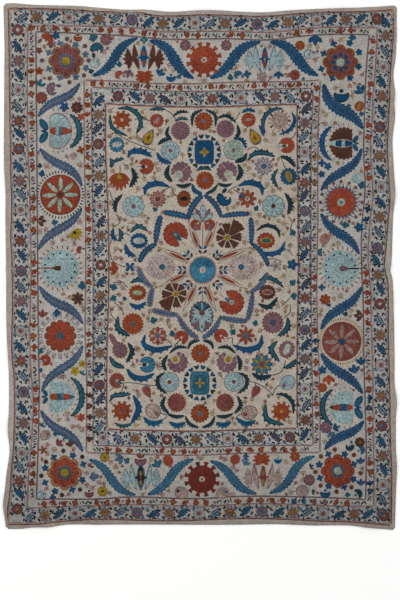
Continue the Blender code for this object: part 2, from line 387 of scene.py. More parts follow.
# Eight-lobed round in a dark edge, with a dark line in each lobe and an eye in a plum ring
def vineRosette(piece, c, r, turn, look):
    body, eye = look
    sewRound(piece, c, r * 1.1, "plum" if body == "mauve" else "walnut", "under", lobes(8, 0.22), turn=turn)
    sewRound(piece, c, r * 0.92, body, "fill", lobes(8, 0.24), turn=turn)
    ring(c, r * 0.5, 8, lambda p, a: tick(piece, p, turned(c, r * 0.95, a), 0.7 * mm, "plum", "detail"),
         turn + 22)
    dot(piece, c, r * 0.46, "plum", "detail")
    dot(piece, c, r * 0.36, eye, "centre")
    dot(piece, c, r * 0.12, "ink", "centre")


# Eight dull petals in dark outlines, with a pale stripe in each and dark slips between them
def vineStar(piece, c, r, turn, look):
    body, stripe = look
    for k in range(8):
        angle = turn + 45 * k
        petal(piece, c, r * 1.0, r * 0.25, angle, "plum" if k % 2 else "walnut", "under", r * 0.06, 0.5, -0.3)
        petal(piece, c, r * 0.82, r * 0.17, angle, body, "fill", r * 0.12, 0.5, -0.3)
        tick(piece, turned(c, r * 0.75, angle + 22), turned(c, r * 1.0, angle + 22), 1.2 * mm, "darkTeal")
        tick(piece, turned(c, r * 0.4, angle), turned(c, r * 0.82, angle), 1.0 * mm, stripe, "detail")
    dot(piece, c, r * 0.26, "ochre", "detail")
    dot(piece, c, r * 0.12, "walnut", "centre")


# Flower drawn in outline on the bare ground, with spokes, a mauve ring and a red eye
def vineWheel(piece, c, r, turn, look):
    rim, eye = look
    sewRound(piece, c, r * 1.0, rim, "under", lobes(9, 0.13), turn=turn, hole=0.86, sides=54)
    ring(c, r * 0.5, 9, lambda p, a: tick(piece, p, turned(c, r * 0.84, a), 0.8 * mm, "mauve", "detail"),
         turn)
    sewRound(piece, c, r * 0.56, "mauve", "under", lobes(9, 0.1), sides=36, hole=0.74, turn=turn)
    dot(piece, c, r * 0.34, eye)
    dot(piece, c, r * 0.12, "walnut", "centre")


# Small bent almond leaf centred on a place
def leaflet(piece, c, length, angle, bend=0.25, dye="darkTeal", wide=0.24, layer="line"):
    t = np.linspace(-0.5, 0.5, 7)
    c0, s0 = np.cos(np.radians(angle)), np.sin(np.radians(angle))
    along, off = t * length, bend * length * (0.25 - t**2) * 2
    path = np.stack([c[0] + along * c0 - off * s0, c[1] + along * s0 + off * c0], -1)
    sewAlong(piece, path, length * wide * taper(7, 0.8), dye, layer, thin=True)


# Fat saw-toothed leaf with two pale ribs and a dark midrib, and eight loose dark slips round it
def bandLeaf(piece, c, slope, looks, bow):
    edge, body, rib = looks
    n = 29
    a, b = turned(c, 30 * mm, slope + 180), turned(c, 30 * mm, slope)
    t = np.linspace(0, 1, n)[:, None]
    aside = np.array([-np.sin(np.radians(slope)), np.cos(np.radians(slope))])
    path = a + (b - a) * t + bow * mm * np.sin(np.pi * t) * aside
    fat = 19 * mm * taper(n, 0.62)
    sewAlong(piece, path, (fat * teeth(n, 6, 0.5), fat * teeth(n, 5, 0.5)), edge, "under")
    sewAlong(piece, path[2:-2], fat[2:-2] * 0.56, body, "fill")
    for share in (-0.3, 0.3):
        sewAlong(piece, beside(path, share * fat)[4:-4], 1.1 * mm, rib, "detail", thin=True)
    sewAlong(piece, path[3:-3], 0.9 * mm, "ink", "centre", thin=True)
    for k in range(8):
        angle = 25 + 45 * k
        ahead = 33 * mm * np.cos(np.radians(angle)) * np.array([aside[1], -aside[0]])
        spot = c + ahead + 24 * mm * np.sin(np.radians(angle)) * aside
        leaflet(piece, spot, 15 * mm, slope + angle + (62 if k % 2 else 48), 0.3, edge, 0.27)


# Flowers of the two vine bands by side: places along it in photo pixels, and R, S or W for each one's kind.
# The band's leaves have a slope in degrees by side, and dyes by turns: edge, body and ribs
vines = dict(
    outer=dict(piece="outerVine", line=1, size=25, leafTurn=dict(left=-50, right=-56, top=38, bottom=38),
               leaf=[("ink", "slateBlue", "mist"), ("ink", "indigo", "sky"),
                     ("darkTeal", "indigo", "slateBlue")],
               left=([30, 61, 90, 121, 149, 181, 210, 241, 271, 301, 331, 361, 392, 423, 453, 481, 509],
                     "RSWSRSWSRSWSRSWSR"),
               top=([37, 69, 99, 132, 163, 195, 225, 257, 288, 317, 346, 377], "SWSRSWSRSWSR"),
               right=([36, 67, 96, 127, 156, 187, 217, 248, 275, 304, 335, 365, 396, 426, 456, 485, 514],
                      "SWSRSWSRSRSWSRSWR"),
               bottom=([45, 75, 105, 137, 169, 199, 230, 262, 293, 323, 354, 384], "SWSRSWSRSWSR")),
    inner=dict(piece="innerVine", line=5, size=24, leafTurn=dict(left=52, right=54, top=-40, bottom=-40),
               leaf=[("ink", "slateBlue", "mist"), ("ink", "indigo", "slateBlue"),
                     ("ink", "plum", "slateBlue")],
               left=([115, 144, 176, 206, 236, 265, 296, 324, 353, 385, 413], "SRSWSRSWSRS"),
               top=([118, 150, 181, 212, 241, 275, 306], "RSWSWSR"),
               right=([123, 152, 183, 211, 242, 270, 298, 330, 359, 389, 420], "SWSRSWSRSWS"),
               bottom=([103, 135, 167, 196, 228, 259, 290], "WSRSWSR")),
)
rosetteLooks = [("mauve", "teal"), ("brick", "slateBlue"), ("brick", "ochre"), ("mauve", "slateBlue"),
                ("brick", "ivory")]
starLooks = [("umber", "paleGreen"), ("brick", "ochre"), ("umber", "weld"), ("mauve", "ochre")]
wheelLooks = [("slateBlue", "madder"), ("plum", "brick"), ("darkTeal", "brick"), ("slateBlue", "brick")]
# Leaves of a band aren't sewn nearer together than this, so that each of its corners has one
leafApart = 50 * mm


# Flower and slanting leaf by turns along the band, with wavy vines, leaflets and dark slips between them
def vineBand(band):
    piece, line = band["piece"], band["line"]
    shapes = dict(R=(vineRosette, rosetteLooks, 0.96), S=(vineStar, starLooks, 1.1),
                  W=(vineWheel, wheelLooks, 1.06))
    slipDyes = ("darkTeal", "ink", "deepBlue", "ink", "darkTeal")
    seen, leaves = 0, []
    for side in sides:
        spots, kinds = band[side]
        step = (spots[-1] - spots[0]) / (len(spots) - 1)
        for spot, kind in zip(spots, kinds):
            draw, looks, share = shapes[kind]
            c = middleOf(line, side, spot)
            draw(piece, c, band["size"] * share * mm, seen * 17, looks[(seen * 3 + len(side)) % len(looks)])
            for k, turn in enumerate([38, 142, 218, 322]):
                leaflet(piece, turned(c, 36 * mm, turn), 23 * mm, turn + 90 + 30 * (k % 2), 0.4,
                        slipDyes[(k + seen) % 5], 0.25)
            for k, turn in enumerate([65, 115, 245, 295]):
                leaflet(piece, turned(c, 32 * mm, turn), 11 * mm, turn + 20, 0.2,
                        ("mist", "paleBlue")[k % 2], 0.24)
            seen += 1
        first, last = lines[line - 1][side][0][0], lines[line - 1][side][0][-1]
        places = np.append(np.array(spots) - step / 2, spots[-1] + step / 2)
        for k, spot in enumerate(p for p in places if first + 11 < p < last - 11):
            c = middleOf(line, side, spot)
            if any(np.hypot(*(c - other)) < leafApart for other in leaves):
                continue
            leaves.append(c)
            slope = band["leafTurn"][side] + 6 * np.sin(seen + k)
            bandLeaf(piece, c, slope, band["leaf"][(k + len(side)) % len(band["leaf"])], 5 if k % 2 else -4)
            for turn, far, length, bow in [(62, 28, 22, 0.5), (-62, 28, 20, -0.5), (118, 28, 20, 0.5),
                                           (-118, 28, 22, -0.5)]:
                spotTurn = slope + turn
                leaflet(piece, turned(c, far * mm, spotTurn), length * mm, spotTurn + 80, -bow,
                        slipDyes[(k + turn) % 5], 0.24)
        place = np.linspace(first + 4, last - 4, len(spots) * 12)
        for share, dye, half in [(0.1, "teal", 1.4), (0.9, "slateBlue", 1.2), (0.17, "paleBlue", 1.2),
                                 (0.84, "mist", 1.2)]:
            wave = share + 0.06 * np.sin(place * 4 * np.pi / step + 9 * share)
            across = lineAt(line - 1, side, place) * (1 - wave) + lineAt(line, side, place) * wave
            stem(piece, at(*sidePlace(side, place, across)), half * mm, dye)


# The two narrow guards: groups of little flowers by side, in photo pixels along it, and a dye for each group
guards = dict(
    outer=dict(piece="outerGuard", line=2, size=14,
               left=[([28], "rust"), ([60, 71, 83, 94], "rust"), ([114, 123], "rust"),
                     ([154, 166], "madder"), ([198, 208, 219, 230], "rust"),
                     ([262, 272, 283, 293], "madder"), ([325, 336, 347, 357], "rust"),
                     ([389, 400, 411, 421], "madder"), ([453, 464, 474, 483], "rust")],
               top=[([31, 43, 55, 67], "rust"), ([101, 110, 121, 132, 144, 155], "madder"),
                    ([187, 198], "rust"), ([231, 242], "madder"), ([297, 309], "rust"),
                    ([340, 351], "madder")],
               right=[([41, 52], "madder"), ([84, 94], "madder"), ([125, 137], "madder"),
                      ([168, 178], "madder"), ([209, 219], "deepBlue"),
                      ([273, 282, 293, 302, 312, 323], "madder"), ([378, 389], "rust"),
                      ([398, 408], "deepBlue"), ([419, 430], "madder"), ([463, 472], "rust"),
                      ([483, 491], "deepBlue")],
               bottom=[([44, 53, 64, 75], "madder"), ([97, 107, 117, 128, 139], "rust"),
                       ([173, 185, 196, 206], "madder"), ([238, 250, 261, 272, 283], "rust"),
                       ([294, 304], "teal"), ([314, 325], "mauve"), ([336, 347], "madder")]),
    inner=dict(piece="innerGuard", line=4, size=13.5,
               left=[([95, 105, 114], "rust"), ([147, 157, 167, 177], "rust"),
                     ([209, 219, 229, 240], "madder"), ([272, 282], "rust"), ([334, 345, 355], "brick"),
                     ([384, 395, 406, 417, 428, 439], "walnut")],
               top=[([93, 102], "rust"), ([137, 148], "brick"), ([169, 180], "madder"), ([211, 222], "rust"),
                    ([254, 265], "madder"), ([290, 299], "rust")],
               right=[([88], "rust"), ([99], "madder"), ([124, 136], "paleMauve"),
                      ([157, 170, 182], "ochre"), ([277, 287], "madder"), ([330], "madder"),
                      ([341, 350], "deepBlue"), ([362, 373], "madder"), ([404, 414], "madder")],
               bottom=[([107, 118, 129], "madder"), ([162, 173, 184, 195], "rust"),
                       ([228, 238, 250, 261], "madder"), ([274, 285, 294], "rust")]),
)


# Small flower of three or four lobes in a dark outline, or, one in three, a tulip of three petals
def guardFlower(piece, c, r, dye, seen):
    warm = dye in ("madder", "rust", "brick")
    dark = "walnut" if warm else "ink"
    turn = 47 * seen
    if seen % 3 == 2:
        foot = turned(c, -r * 0.95, turn)
        for spread in (-34, 34, 0):
            petalDye = "brick" if warm and spread == 0 else dye
            petal(piece, foot, r * 1.95, r * 0.42, turn + spread, petalDye, "fill", 0.0, 0.7, 0.2, 7)
        dot(piece, turned(c, -r * 0.45, turn), r * 0.4, dark)
    else:
        knobs = 3 + seen % 3
        sewRound(piece, c, r * 1.05, dark, "under", lobes(knobs, 0.3, 0.7), sides=knobs * 6, turn=turn)
        sewRound(piece, c, r * 0.9, dye, "fill", lobes(knobs, 0.36, 0.7), sides=knobs * 6, turn=turn)
        dot(piece, c, r * 0.3, dark if seen % 2 else "ochre")
    leaflet(piece, turned(c, r * 1.1, turn + 100), r * 0.9, turn + 100, 0, dark, 0.24, "detail")


# Flowers with a dark slip between each two, and pale leaf sprays with beads in the stretches between groups
def guardBand(band):
    piece, line = band["piece"], band["line"]
    seen = 0
    for side in sides:
        busy = [spot for spots, _ in band[side] for spot in spots]
        for spots, dye in band[side]:
            for spot in spots:
                lean = 0.06 * np.sin(2.4 * seen)
                guardFlower(piece, middleOf(line, side, spot, 0.5 + lean), band["size"] * mm, dye, seen)
                seen += 1
        first, last = lines[line][side][0][0], lines[line][side][0][-1]
        angle = 0 if side in ("left", "right") else 90
        for k, spot in enumerate(np.arange(first + 3, last - 1, 5.3)):
            spot += 1.1 * np.sin(3.1 * k)
            near = min(abs(spot - b) for b in busy)
            if near > 3.2:
                leaflet(piece, middleOf(line, side, spot), (18 + 5 * np.sin(2.2 * k)) * mm,
                        angle + 34 * np.sin(spot), 0.2, "darkTeal" if near < 8 else "ink", 0.2)
            if near > 5.5:
                pale = ("paleBlue", "mist", "paleGreen", "paleMauve")[k % 4]
                for share, aside, turn, dye in [(0.28, 1.7, 72, pale), (0.74, -1.7, 108, "mist"),
                                                (0.7, 2.4, 40, "darkTeal")]:
                    leaflet(piece, middleOf(line, side, spot + aside, share), 15 * mm,
                            angle + turn + 25 * np.sin(1.7 * k), 0.3, dye, 0.26)
                dot(piece, middleOf(line, side, spot + 2.7, 0.45), 3.6 * mm,
                    ("mauve", "walnut", "paleGreen", "madder")[k % 4])
                stem(piece, arc(middleOf(line, side, spot), 9 * mm, angle + 20, angle + 150, 7), 0.9 * mm,
                     "brick")


ruledLines()
for band in vines.values():
    vineBand(band)
for band in guards.values():
    guardBand(band)
print("suzani: drawing the flowers")

# A look is a tuple of dyes, each flower's in its own order.
# A flower's place and size are in metres, and its turn is in degrees anticlockwise from +X


# Sector patch: places from an inner to an outer radius between two angles, all its rims drawn in
def sewFan(piece, c, inner, outer, start, end, dye, layer="fill", edge=None, count=14):
    angle = np.radians(np.linspace(start, end, count))
    far = outer * (1 if edge is None else edge(angle))
    share = np.array([0, 0.1, 0.9, 1])[:, None]
    reach = inner + (far - inner) * share + np.zeros(count)
    xy = np.stack([c[0] + reach * np.cos(angle), c[1] + reach * np.sin(angle)], -1).reshape(-1, 2)
    height = np.full((4, count), layerHeight[layer])
    height[[0, 3]] = rimDrop
    height[:, [0, -1]] = rimDrop
    i = np.arange(3)[:, None] * count + np.arange(count - 1)
    quads = np.stack([i, i + count, i + count + 1, i + 1], -1).reshape(-1, 4)
    keepPatch(piece, xy, height.ravel(), dye, np.radians((start + end) / 2), quads)


# Places given in shares of a flower's size, along its turn and to the left of it
def placed(c, r, turn, shares):
    along, aside = r * np.asarray(shares, float).T
    cosine, sine = np.cos(np.radians(turn)), np.sin(np.radians(turn))
    return np.stack([c[0] + along * cosine - aside * sine, c[1] + along * sine + aside * cosine], -1)


# Outline of a strip: its two edges, sewn as thin lines
def outline(piece, path, fat, half, dye):
    for side in (-1, 1):
        stem(piece, beside(path, side * fat), half, dye)


# Many-petalled round: scalloped edge, rays and a core
def daisy(piece, c, r, turn, look, count=16):
    body, edge, core = look
    sewRound(piece, c, r, edge, "under", lobes(count, 0.15), sides=count * 4, turn=turn)
    sewRound(piece, c, r * 0.9, body, "fill", lobes(count, 0.13), sides=count * 4, turn=turn)
    ring(c, r * 0.42, count,
         lambda p, a: tick(piece, p, turned(c, r * 0.86, a), 0.6 * mm, edge, "detail"), turn)
    dot(piece, c, r * 0.25, core, "detail")
    dot(piece, c, r * 0.1, edge, "centre")


# Star of outlined petals about a core; two petal dyes take turns when the look has them
def bloom(piece, c, r, turn, look, count=8, wide=0.26):
    edge, core, *bodies = look
    start = 0.1
    for k in range(count):
        angle = turn + 360 * k / count
        petal(piece, c, r * (1 - start), r * wide, angle, edge, "under", r * start, 0.6, 0.25)
        petal(piece, c, r * (0.82 - start), r * wide * 0.64, angle, bodies[k % len(bodies)], "fill",
              r * (start + 0.06), 0.6, 0.25)
    sewRound(piece, c, r * 0.28, core, "detail", sides=16)
    dot(piece, c, r * 0.12, edge, "centre")


# Round body with spade-ended knobs that leave round gaps between them, fine rays, a core and an eye
def cogFlower(piece, c, r, turn, look, count=12):
    body, edge, pale, eye = look
    out = np.array([0.7, 0.77, 0.84, 0.91, 0.98, 1.0])
    flare = np.array([0.13, 0.1, 0.088, 0.14, 0.132, 0.09])
    for k in range(count):
        path = np.array([turned(c, r * share, turn + 360 * k / count) for share in out])
        sewAlong(piece, path, r * flare * 12 / count, edge if k % 3 == 0 else body, "fill")
    sewRound(piece, c, r * 0.77, body, "fill", sides=48)
    ring(c, r * 0.3, count * 2,
         lambda p, a: tick(piece, p, turned(c, r * 0.68, a), 0.6 * mm, edge, "detail"), turn + 15)
    sewRound(piece, c, r * 0.17, pale, "detail", sides=18)
    dot(piece, c, r * 0.065, eye, "centre")


# Pale wheel in a thin scalloped outline, with thin dark rays between its petals, about a core
def wheel(piece, c, r, turn, look, count=14):
    body, edge, core = look
    sewRound(piece, c, r, edge, "under", lobes(count, 0.1), sides=count * 4, turn=turn)
    sewRound(piece, c, r * 0.955, body, "fill", lobes(count, 0.1), sides=count * 4, turn=turn)
    ring(c, r * 0.2, count, lambda p, a: tick(piece, p, turned(c, r * 0.95, a), 1.2 * mm, edge, "detail"),
         turn + 180 / count)
    dot(piece, c, r * 0.22, core)
    dot(piece, c, r * 0.09, edge, "centre")


# Pale round with a toothed edge and ribs, and an eye a little off its middle on a dark stalk
def ribbedRound(piece, c, r, turn, look):
    body, edge, core = look
    count, tall = 30, 0.86
    sewRound(piece, c, r, body, "fill", points(count, 0.07), sides=4 * count, tall=tall)
    eye = turned(c, r * 0.12, turn)
    for k in range(count):
        ray = lambda far: eye + (turned(c, r * far, 360 * k / count) - eye) * np.array([1, tall])
        tick(piece, ray(0.98), ray(0.3 if k % 2 else 0.5), 1.4 * mm, edge, "detail")
    sewRound(piece, eye, r * 0.2, core, "detail", sides=14)
    dot(piece, eye, r * 0.09, "sky", "centre")
    tick(piece, turned(eye, r * 0.2, turn), turned(eye, r * 0.95, turn), 2.2 * mm, "ink", "detail")


# Scalloped round with fine rays, cut by a notch with a bud on a stem in it
def carnation(piece, c, r, turn, look, gap=30):
    body, edge, bud = look
    sewFan(piece, c, r * 0.14, r * 1.0, turn + gap, turn + 360 - gap, edge, "under", lobes(16, 0.15), 48)
    sewFan(piece, c, r * 0.18, r * 0.93, turn + gap + 2, turn + 358 - gap, body, "fill", lobes(16, 0.15), 48)
    for k in range(13):
        angle = turn + gap + 10 + (340 - 2 * gap) * k / 12
        tick(piece, turned(c, r * 0.35, angle), turned(c, r * 0.8, angle), 0.9 * mm, edge, "detail")
    petal(piece, c, r * 0.6, r * 0.16, turn, bud, "fill", r * 0.05)
    stem(piece, np.array([turned(c, r * s, turn) for s in (0.55, 0.9, 1.25)]), 1.4 * mm, "darkTeal")


# Scalloped fruit with an almond heart along its turn, in a halo
def pomegranate(piece, c, r, turn, look, tall=0.9):
    body, edge, halo, heart, eye = look
    sewRound(piece, c, r, edge, "under", lobes(14, 0.15), sides=56, tall=tall, turn=turn)
    sewRound(piece, c, r * 0.9, body, "fill", lobes(14, 0.13), sides=56, tall=tall, turn=turn)
    ring(c, r * 0.5, 14, lambda p, a: tick(piece, p, turned(c, r * 0.8, a), 0.6 * mm, edge, "line"), turn)
    for length, wide, dye, layer in [(1.56, 0.4, halo, "detail"), (1.2, 0.25, heart, "centre")]:
        petal(piece, turned(c, -r * length / 2, turn), r * length, r * wide, turn, dye, layer, 0.0, 0.7)
    dot(piece, c, r * 0.13, eye, "centre")


# Teardrop with its tip along its turn, a toothed border and a small drop inside
def drop(piece, c, r, turn, look):
    body, edge, heart = look
    n = 25
    t = np.linspace(0, 1, n)
    fat = np.sin(np.pi * t**0.62) ** 0.8 + 0.02
    for size, dye, layer, saw in [(1.0, edge, "under", 0.26), (0.8, body, "fill", 0.0),
                                  (0.3, heart, "detail", 0.0)]:
        base = turned(c, -r * size, turn)
        path = base + (turned(c, r * 1.15 * size, turn) - base) * t[:, None]
        sewAlong(piece, path, r * 0.76 * size * fat * (1 - saw * (np.arange(n) % 2)), dye, layer)


# Toothed teardrop bent round a circle: fat near its start, curling in to a point, with a leaf at its head
def paisley(piece, c, size, turn, look, way=1):
    body, edge = look
    r = 1.25 * size
    t = np.linspace(0, 1, 22)
    angle = np.radians(turn) + way * np.radians(250) * t
    reach = r * (0.6 - 0.22 * t)
    path = np.stack([c[0] + reach * np.cos(angle), c[1] + reach * np.sin(angle)], -1)
    fat = r * 0.5 * np.sin(np.pi * np.clip(t, 0, 0.98) ** 0.55) ** 0.8 + 0.4 * mm
    sewAlong(piece, path, fat * (1 - 0.24 * (np.arange(22) % 2)), edge, "under")
    sewAlong(piece, path[1:-1], fat[1:-1] * 0.66, body, "fill")
    petal(piece, path[0], r * 0.7, r * 0.2, turn - way * 80, edge, "under")
    dot(piece, turned(c, r * 0.05, turn), r * 0.12, edge)


# Three pointed petals on a round base, opening along the turn
def tulip(piece, c, r, turn, look):
    body, heart = look
    base = turned(c, -0.75 * r, turn)
    for spread, length in [(-44, 1.65), (44, 1.65), (0, 1.8)]:
        petal(piece, base, length * r, 0.4 * r, turn + spread, body, "fill", 0.0, 0.75, 0.3)
    sewRound(piece, turned(c, -0.4 * r, turn), 0.52 * r, body, "fill", sides=12)
    petal(piece, base, r * 0.9, 0.14 * r, turn, heart, "detail")


# Flame of pointed petals fanned about its turn, the middle one longest, from a core near its foot
def flame(piece, c, r, turn, look, count=7, spread=66):
    body, edge, core = look
    foot = turned(c, -0.7 * r, turn)
    for share in np.linspace(-1, 1, count):
        length = r * (1.85 - 0.55 * abs(share))
        petal(piece, foot, length, r * 0.25, turn + spread * share, edge, "under", 0.0, 0.9, -0.1)
        petal(piece, foot, length * 0.88, r * 0.17, turn + spread * share, body, "fill", 0.0, 0.9, -0.1)
    dot(piece, turned(foot, r * 0.35, turn), r * 0.26, core)


# Small flower of pointed petals with an eye
def star(piece, c, r, turn, look, count=5):
    body, heart = look
    ring(c, 0, count, lambda p, a: petal(piece, c, r, r * 0.36, a, body, "fill", 0.0, 0.7), turn)
    dot(piece, c, r * 0.36, body)
    dot(piece, c, r * 0.18, heart, "centre")


# Three small bent leaves on one stalk
def spray(piece, c, r, turn, look):
    body, = look
    for spread, bend in [(-50, -0.35), (0, 0.15), (50, 0.35)]:
        leaflet(piece, turned(c, r * 0.5, turn + spread), r * 1.2, turn + spread, bend, body, 0.26)
    dot(piece, c, r * 0.22, body, "fill")


# Plump pointed leaf with a rib and a tooth at each side
def leafBud(piece, c, r, turn, look):
    body, rib = look
    petal(piece, turned(c, -r, turn), 2.1 * r, 0.56 * r, turn, body, "fill", 0.0, 0.75, 0.35)
    petal(piece, turned(c, -0.5 * r, turn), 1.2 * r, 0.34 * r, turn + 50, body, "fill", 0.0, 0.75)
    petal(piece, turned(c, -0.6 * r, turn), 1.1 * r, 0.3 * r, turn - 46, body, "fill", 0.0, 0.75)
    petal(piece, turned(c, -0.7 * r, turn), 1.2 * r, 0.1 * r, turn, rib, "detail")


# Pale round in a thin scalloped outline, with a seed near its rim towards its turn and fine rays from it
def beadRound(piece, c, r, turn, look):
    body, edge, heart = look
    seed = turned(c, r * 0.55, turn)
    sewRound(piece, c, r, edge, "under", lobes(16, 0.08), sides=64, turn=turn, tall=0.88)
    sewRound(piece, c, r * 0.92, body, "fill", lobes(16, 0.08), sides=64, turn=turn, tall=0.88)
    for spread in (-60, -30, 0, 30, 60):
        tick(piece, seed, turned(seed, r * 1.1, turn + 180 + spread), 0.8 * mm, edge, "detail")
    dot(piece, seed, r * 0.27, edge)
    dot(piece, seed, r * 0.18, heart, "centre")


# Round bead with a dark eye on a short stalk towards its turn
def stalkDot(piece, c, r, turn, look):
    body, heart = look
    dot(piece, c, r * 1.12, heart, "under")
    dot(piece, c, r * 0.92, body, "fill")
    dot(piece, c, r * 0.4, heart)
    tick(piece, turned(c, r * 0.9, turn), turned(c, r * 1.9, turn), 0.9 * mm, heart)


# Crescent with its horns up along the turn and a bead between them
def bowl(piece, c, r, turn, look):
    body, edge = look
    path = arc(turned(c, r * 0.3, turn), r * 0.7, turn + 95, turn + 265, 15)
    fat = taper(15, 0.8)
    sewAlong(piece, path, r * 0.46 * fat, edge, "under")
    sewAlong(piece, path[1:-1], r * 0.32 * fat[1:-1], body, "fill")
    dot(piece, turned(c, r * 0.35, turn), r * 0.22, edge)


# Pairs of wide pointed petals, one above the other along its turn
def lotus(piece, c, r, turn, look):
    body, edge = look
    for k, (far, reach) in enumerate([(-0.42, 0.78), (-0.14, 0.96), (0.14, 0.92), (0.4, 0.62)]):
        middle = turned(c, far * r * 0.75, turn)
        for side in (-1, 1):
            petal(piece, middle, reach * r, 0.2 * r, turn + side * (90 - 14 * k + 12),
                  edge if k % 2 else body, "fill", 0.0, 0.6, -0.2)
    petal(piece, turned(c, -0.45 * r, turn), 0.95 * r, 0.3 * r, turn, body, "detail")


# Spiral stem of one and a half turns that closes in evenly on a bead
def curl(piece, c, r, turn, dye, way=1):
    t = np.linspace(0, 1, 17)
    angle = np.radians(turn) + way * 3 * np.pi * t
    reach = r * (1 - 0.75 * t)
    path = np.stack([c[0] + reach * np.cos(angle), c[1] + reach * np.sin(angle)], -1)
    stem(piece, path, curlWide, dye)
    dot(piece, c, 2.4 * mm, dye, "line")


# Bent leaf along photo places, with long thorns on one side that lean towards its end
def crescent(piece, points, wide, look, count=7, side=1):
    body, edge = look
    n = count * 4 + 6
    path = curve(points, n)
    fat = wide * mm * taper(n, 0.6)
    sewAlong(piece, path, fat * 0.86, edge, "under")
    step = np.gradient(path, axis=0)
    for k in range(count):
        i = 3 + int((k + 0.3) * (n - 6) / count)
        heading = np.degrees(np.arctan2(step[i, 1], step[i, 0]))
        petal(piece, path[i], fat[i] * 1.4 + 3 * mm, fat[i] * 0.34 + 1.2 * mm, heading + side * 52, edge,
              "under", 0.0, 0.6, -0.3, 6)
    inner = slice(2, n - 2)
    sewAlong(piece, path[inner], fat[inner] * 0.45, body, "fill")


# Long leaf about a bent chord: chord + bow * sin(2 pi t) + lean * sin(pi t), saw-toothed on both sides,
# with slanting stitches, two streaks and a midrib
def bigLeaf(piece, a, b, bow, lean, wide, look):
    edge, body, streak, rib = look
    n = 71
    t = np.linspace(0, 1, n)
    step = b - a
    normal = np.array([-step[1], step[0]]) / np.linalg.norm(step)
    bend = mm * (bow * np.sin(2 * np.pi * t) + lean * np.sin(np.pi * t))
    path = a + step * t[:, None] + normal * bend[:, None]
    fat = wide * mm * taper(n, 0.55)
    left, right = fat * teeth(n, 17, 0.36), fat * teeth(n, 16, 0.36)
    sewAlong(piece, path, (left, right), edge, "under")
    inner = slice(3, n - 3)
    sewAlong(piece, path[inner], (left[inner] * 0.8, right[inner] * 0.8), body, "fill")
    upper, lower = beside(path, fat * 0.72), beside(path, -fat * 0.72)
    for k in range(5, n - 9, 3):
        for far in (upper, lower):
            tick(piece, path[k], path[k] + (far[k + 4] - path[k]) * 0.96, 0.8 * mm, edge, "detail")
    part = slice(5, n - 5)
    for share, dye, half in [(-0.4, streak, 1.4), (0.4, streak, 1.4), (0.0, rib, 1.7)]:
        sewAlong(piece, beside(path, share * fat)[part], half * mm * taper(n, 0.4)[part], dye, "centre",
                 thin=True)


# Almond between two places, blunt behind and pointed in front, in bands of dye that each span a share of it
def bandedAlmond(piece, a, b, wide, edge, bands):
    n = 81
    t = np.linspace(0, 1, n)
    path = a + (b - a) * t[:, None]
    fat = wide * (np.sin(np.pi * np.clip(t, 0.03, 1) ** 0.75) ** 0.62 + 0.04)
    sewAlong(piece, path, fat, edge, "detail")
    for start, end, dye in bands:
        part = slice(max(int(start * (n - 1)) - 1, 0), int(end * (n - 1)) + 3)
        sewAlong(piece, path[part], fat[part] * 0.84, dye, "centre")


# Edge of a round whose back is cut straight: an oval, or the straight back where that is nearer
def flatBacked(back, front, high):
    return lambda angle: 1 / np.maximum(np.hypot(np.cos(angle) / front, np.sin(angle) / high),
                                        -np.cos(angle) / back)


# Half round with a straight back, a banded almond through it, hooked stitches round it, two leaves at its
# back and a toothed crescent in front; shape is its back, front and half height in shares of its size
def halfPalmette(piece, c, r, turn, look, bands, shape=(0.44, 0.79, 1.0), scallops=0, leaves=1.0):
    body, edge, wing, bow = look
    back, front, high = shape
    whole = flatBacked(back, front, high)
    ragged = whole if not scallops else lambda angle: whole(angle) * lobes(scallops, 0.1)(angle)
    sewRound(piece, c, r, edge, "under", ragged, sides=96, turn=turn)
    sewRound(piece, c, r * 0.95, body, "fill", ragged, sides=96, turn=turn)
    a, b = placed(c, r, turn, [(-back + 0.02, 0), (front + 0.02, 0)])
    bandedAlmond(piece, a, b, r * 0.28, "ivory" if scallops else edge, bands)
    for k in range(14):
        angle = np.radians(-104 + 16 * k)
        foot = np.array([(front + 0.09) * np.cos(angle), (high + 0.09) * np.sin(angle)])
        spots = placed(c, r, turn, [foot, foot * 1.13, foot * 1.13 + [0.0, 0.07]])
        tick(piece, spots[0], spots[1], 2.3 * mm, "walnut" if k % 3 else "brick")
        tick(piece, spots[1], spots[2], 2.0 * mm, "walnut")
    for side in (-1, 1):
        wingPath = bent(placed(c, r, turn, [(-0.54, 0.04 * side),
                                            (-0.54 - 0.2 * leaves, 0.32 * leaves * side),
                                            (-0.54 - 0.42 * leaves, 0.66 * leaves * side)]), 22)
        fat = 0.22 * r * leaves * taper(22, 0.55)
        sewAlong(piece, wingPath, fat * (1 - 0.2 * (np.arange(22) % 3 == 0)), wing, "under")
        sewAlong(piece, wingPath[2:-2], fat[2:-2] * 0.5, "teal" if wing != "teal" else "indigo", "fill")
    a, b = placed(c, r, turn, [(-0.6, 0), (-0.92, 0)])
    petal(piece, a, np.linalg.norm(b - a), r * 0.075, turn + 180, wing, "fill")
    path = arc(turned(c, r * 0.17, turn), r * (front + 0.25), turn - 62, turn + 62, 52)
    fat = r * 0.2 * taper(52, 0.5)
    sewAlong(piece, path, (fat * 0.86, fat * (0.6 + 0.62 * teeth(52, 12, 0.9))), bow, "under")
    sewAlong(piece, path[2:-2], fat[2:-2] * 0.55, "teal" if bow == "darkTeal" else "indigo", "fill")


# Feathers of a palmette's wing in shares of its size: start, middle and tip (along, aside), and half width
feathers = [
    ((-0.66, 0.22), (0.02, 0.42), (0.78, 0.50), 0.15), ((-0.12, 0.58), (0.14, 0.78), (0.52, 0.84), 0.11),
    ((-0.06, 0.66), (0.10, 0.86), (0.20, 1.02), 0.10), ((-0.12, 0.66), (-0.06, 0.90), (-0.04, 1.10), 0.10),
    ((-0.12, 0.66), (-0.24, 0.86), (-0.30, 1.03), 0.10), ((-0.12, 0.60), (-0.36, 0.74), (-0.58, 0.78), 0.11),
]


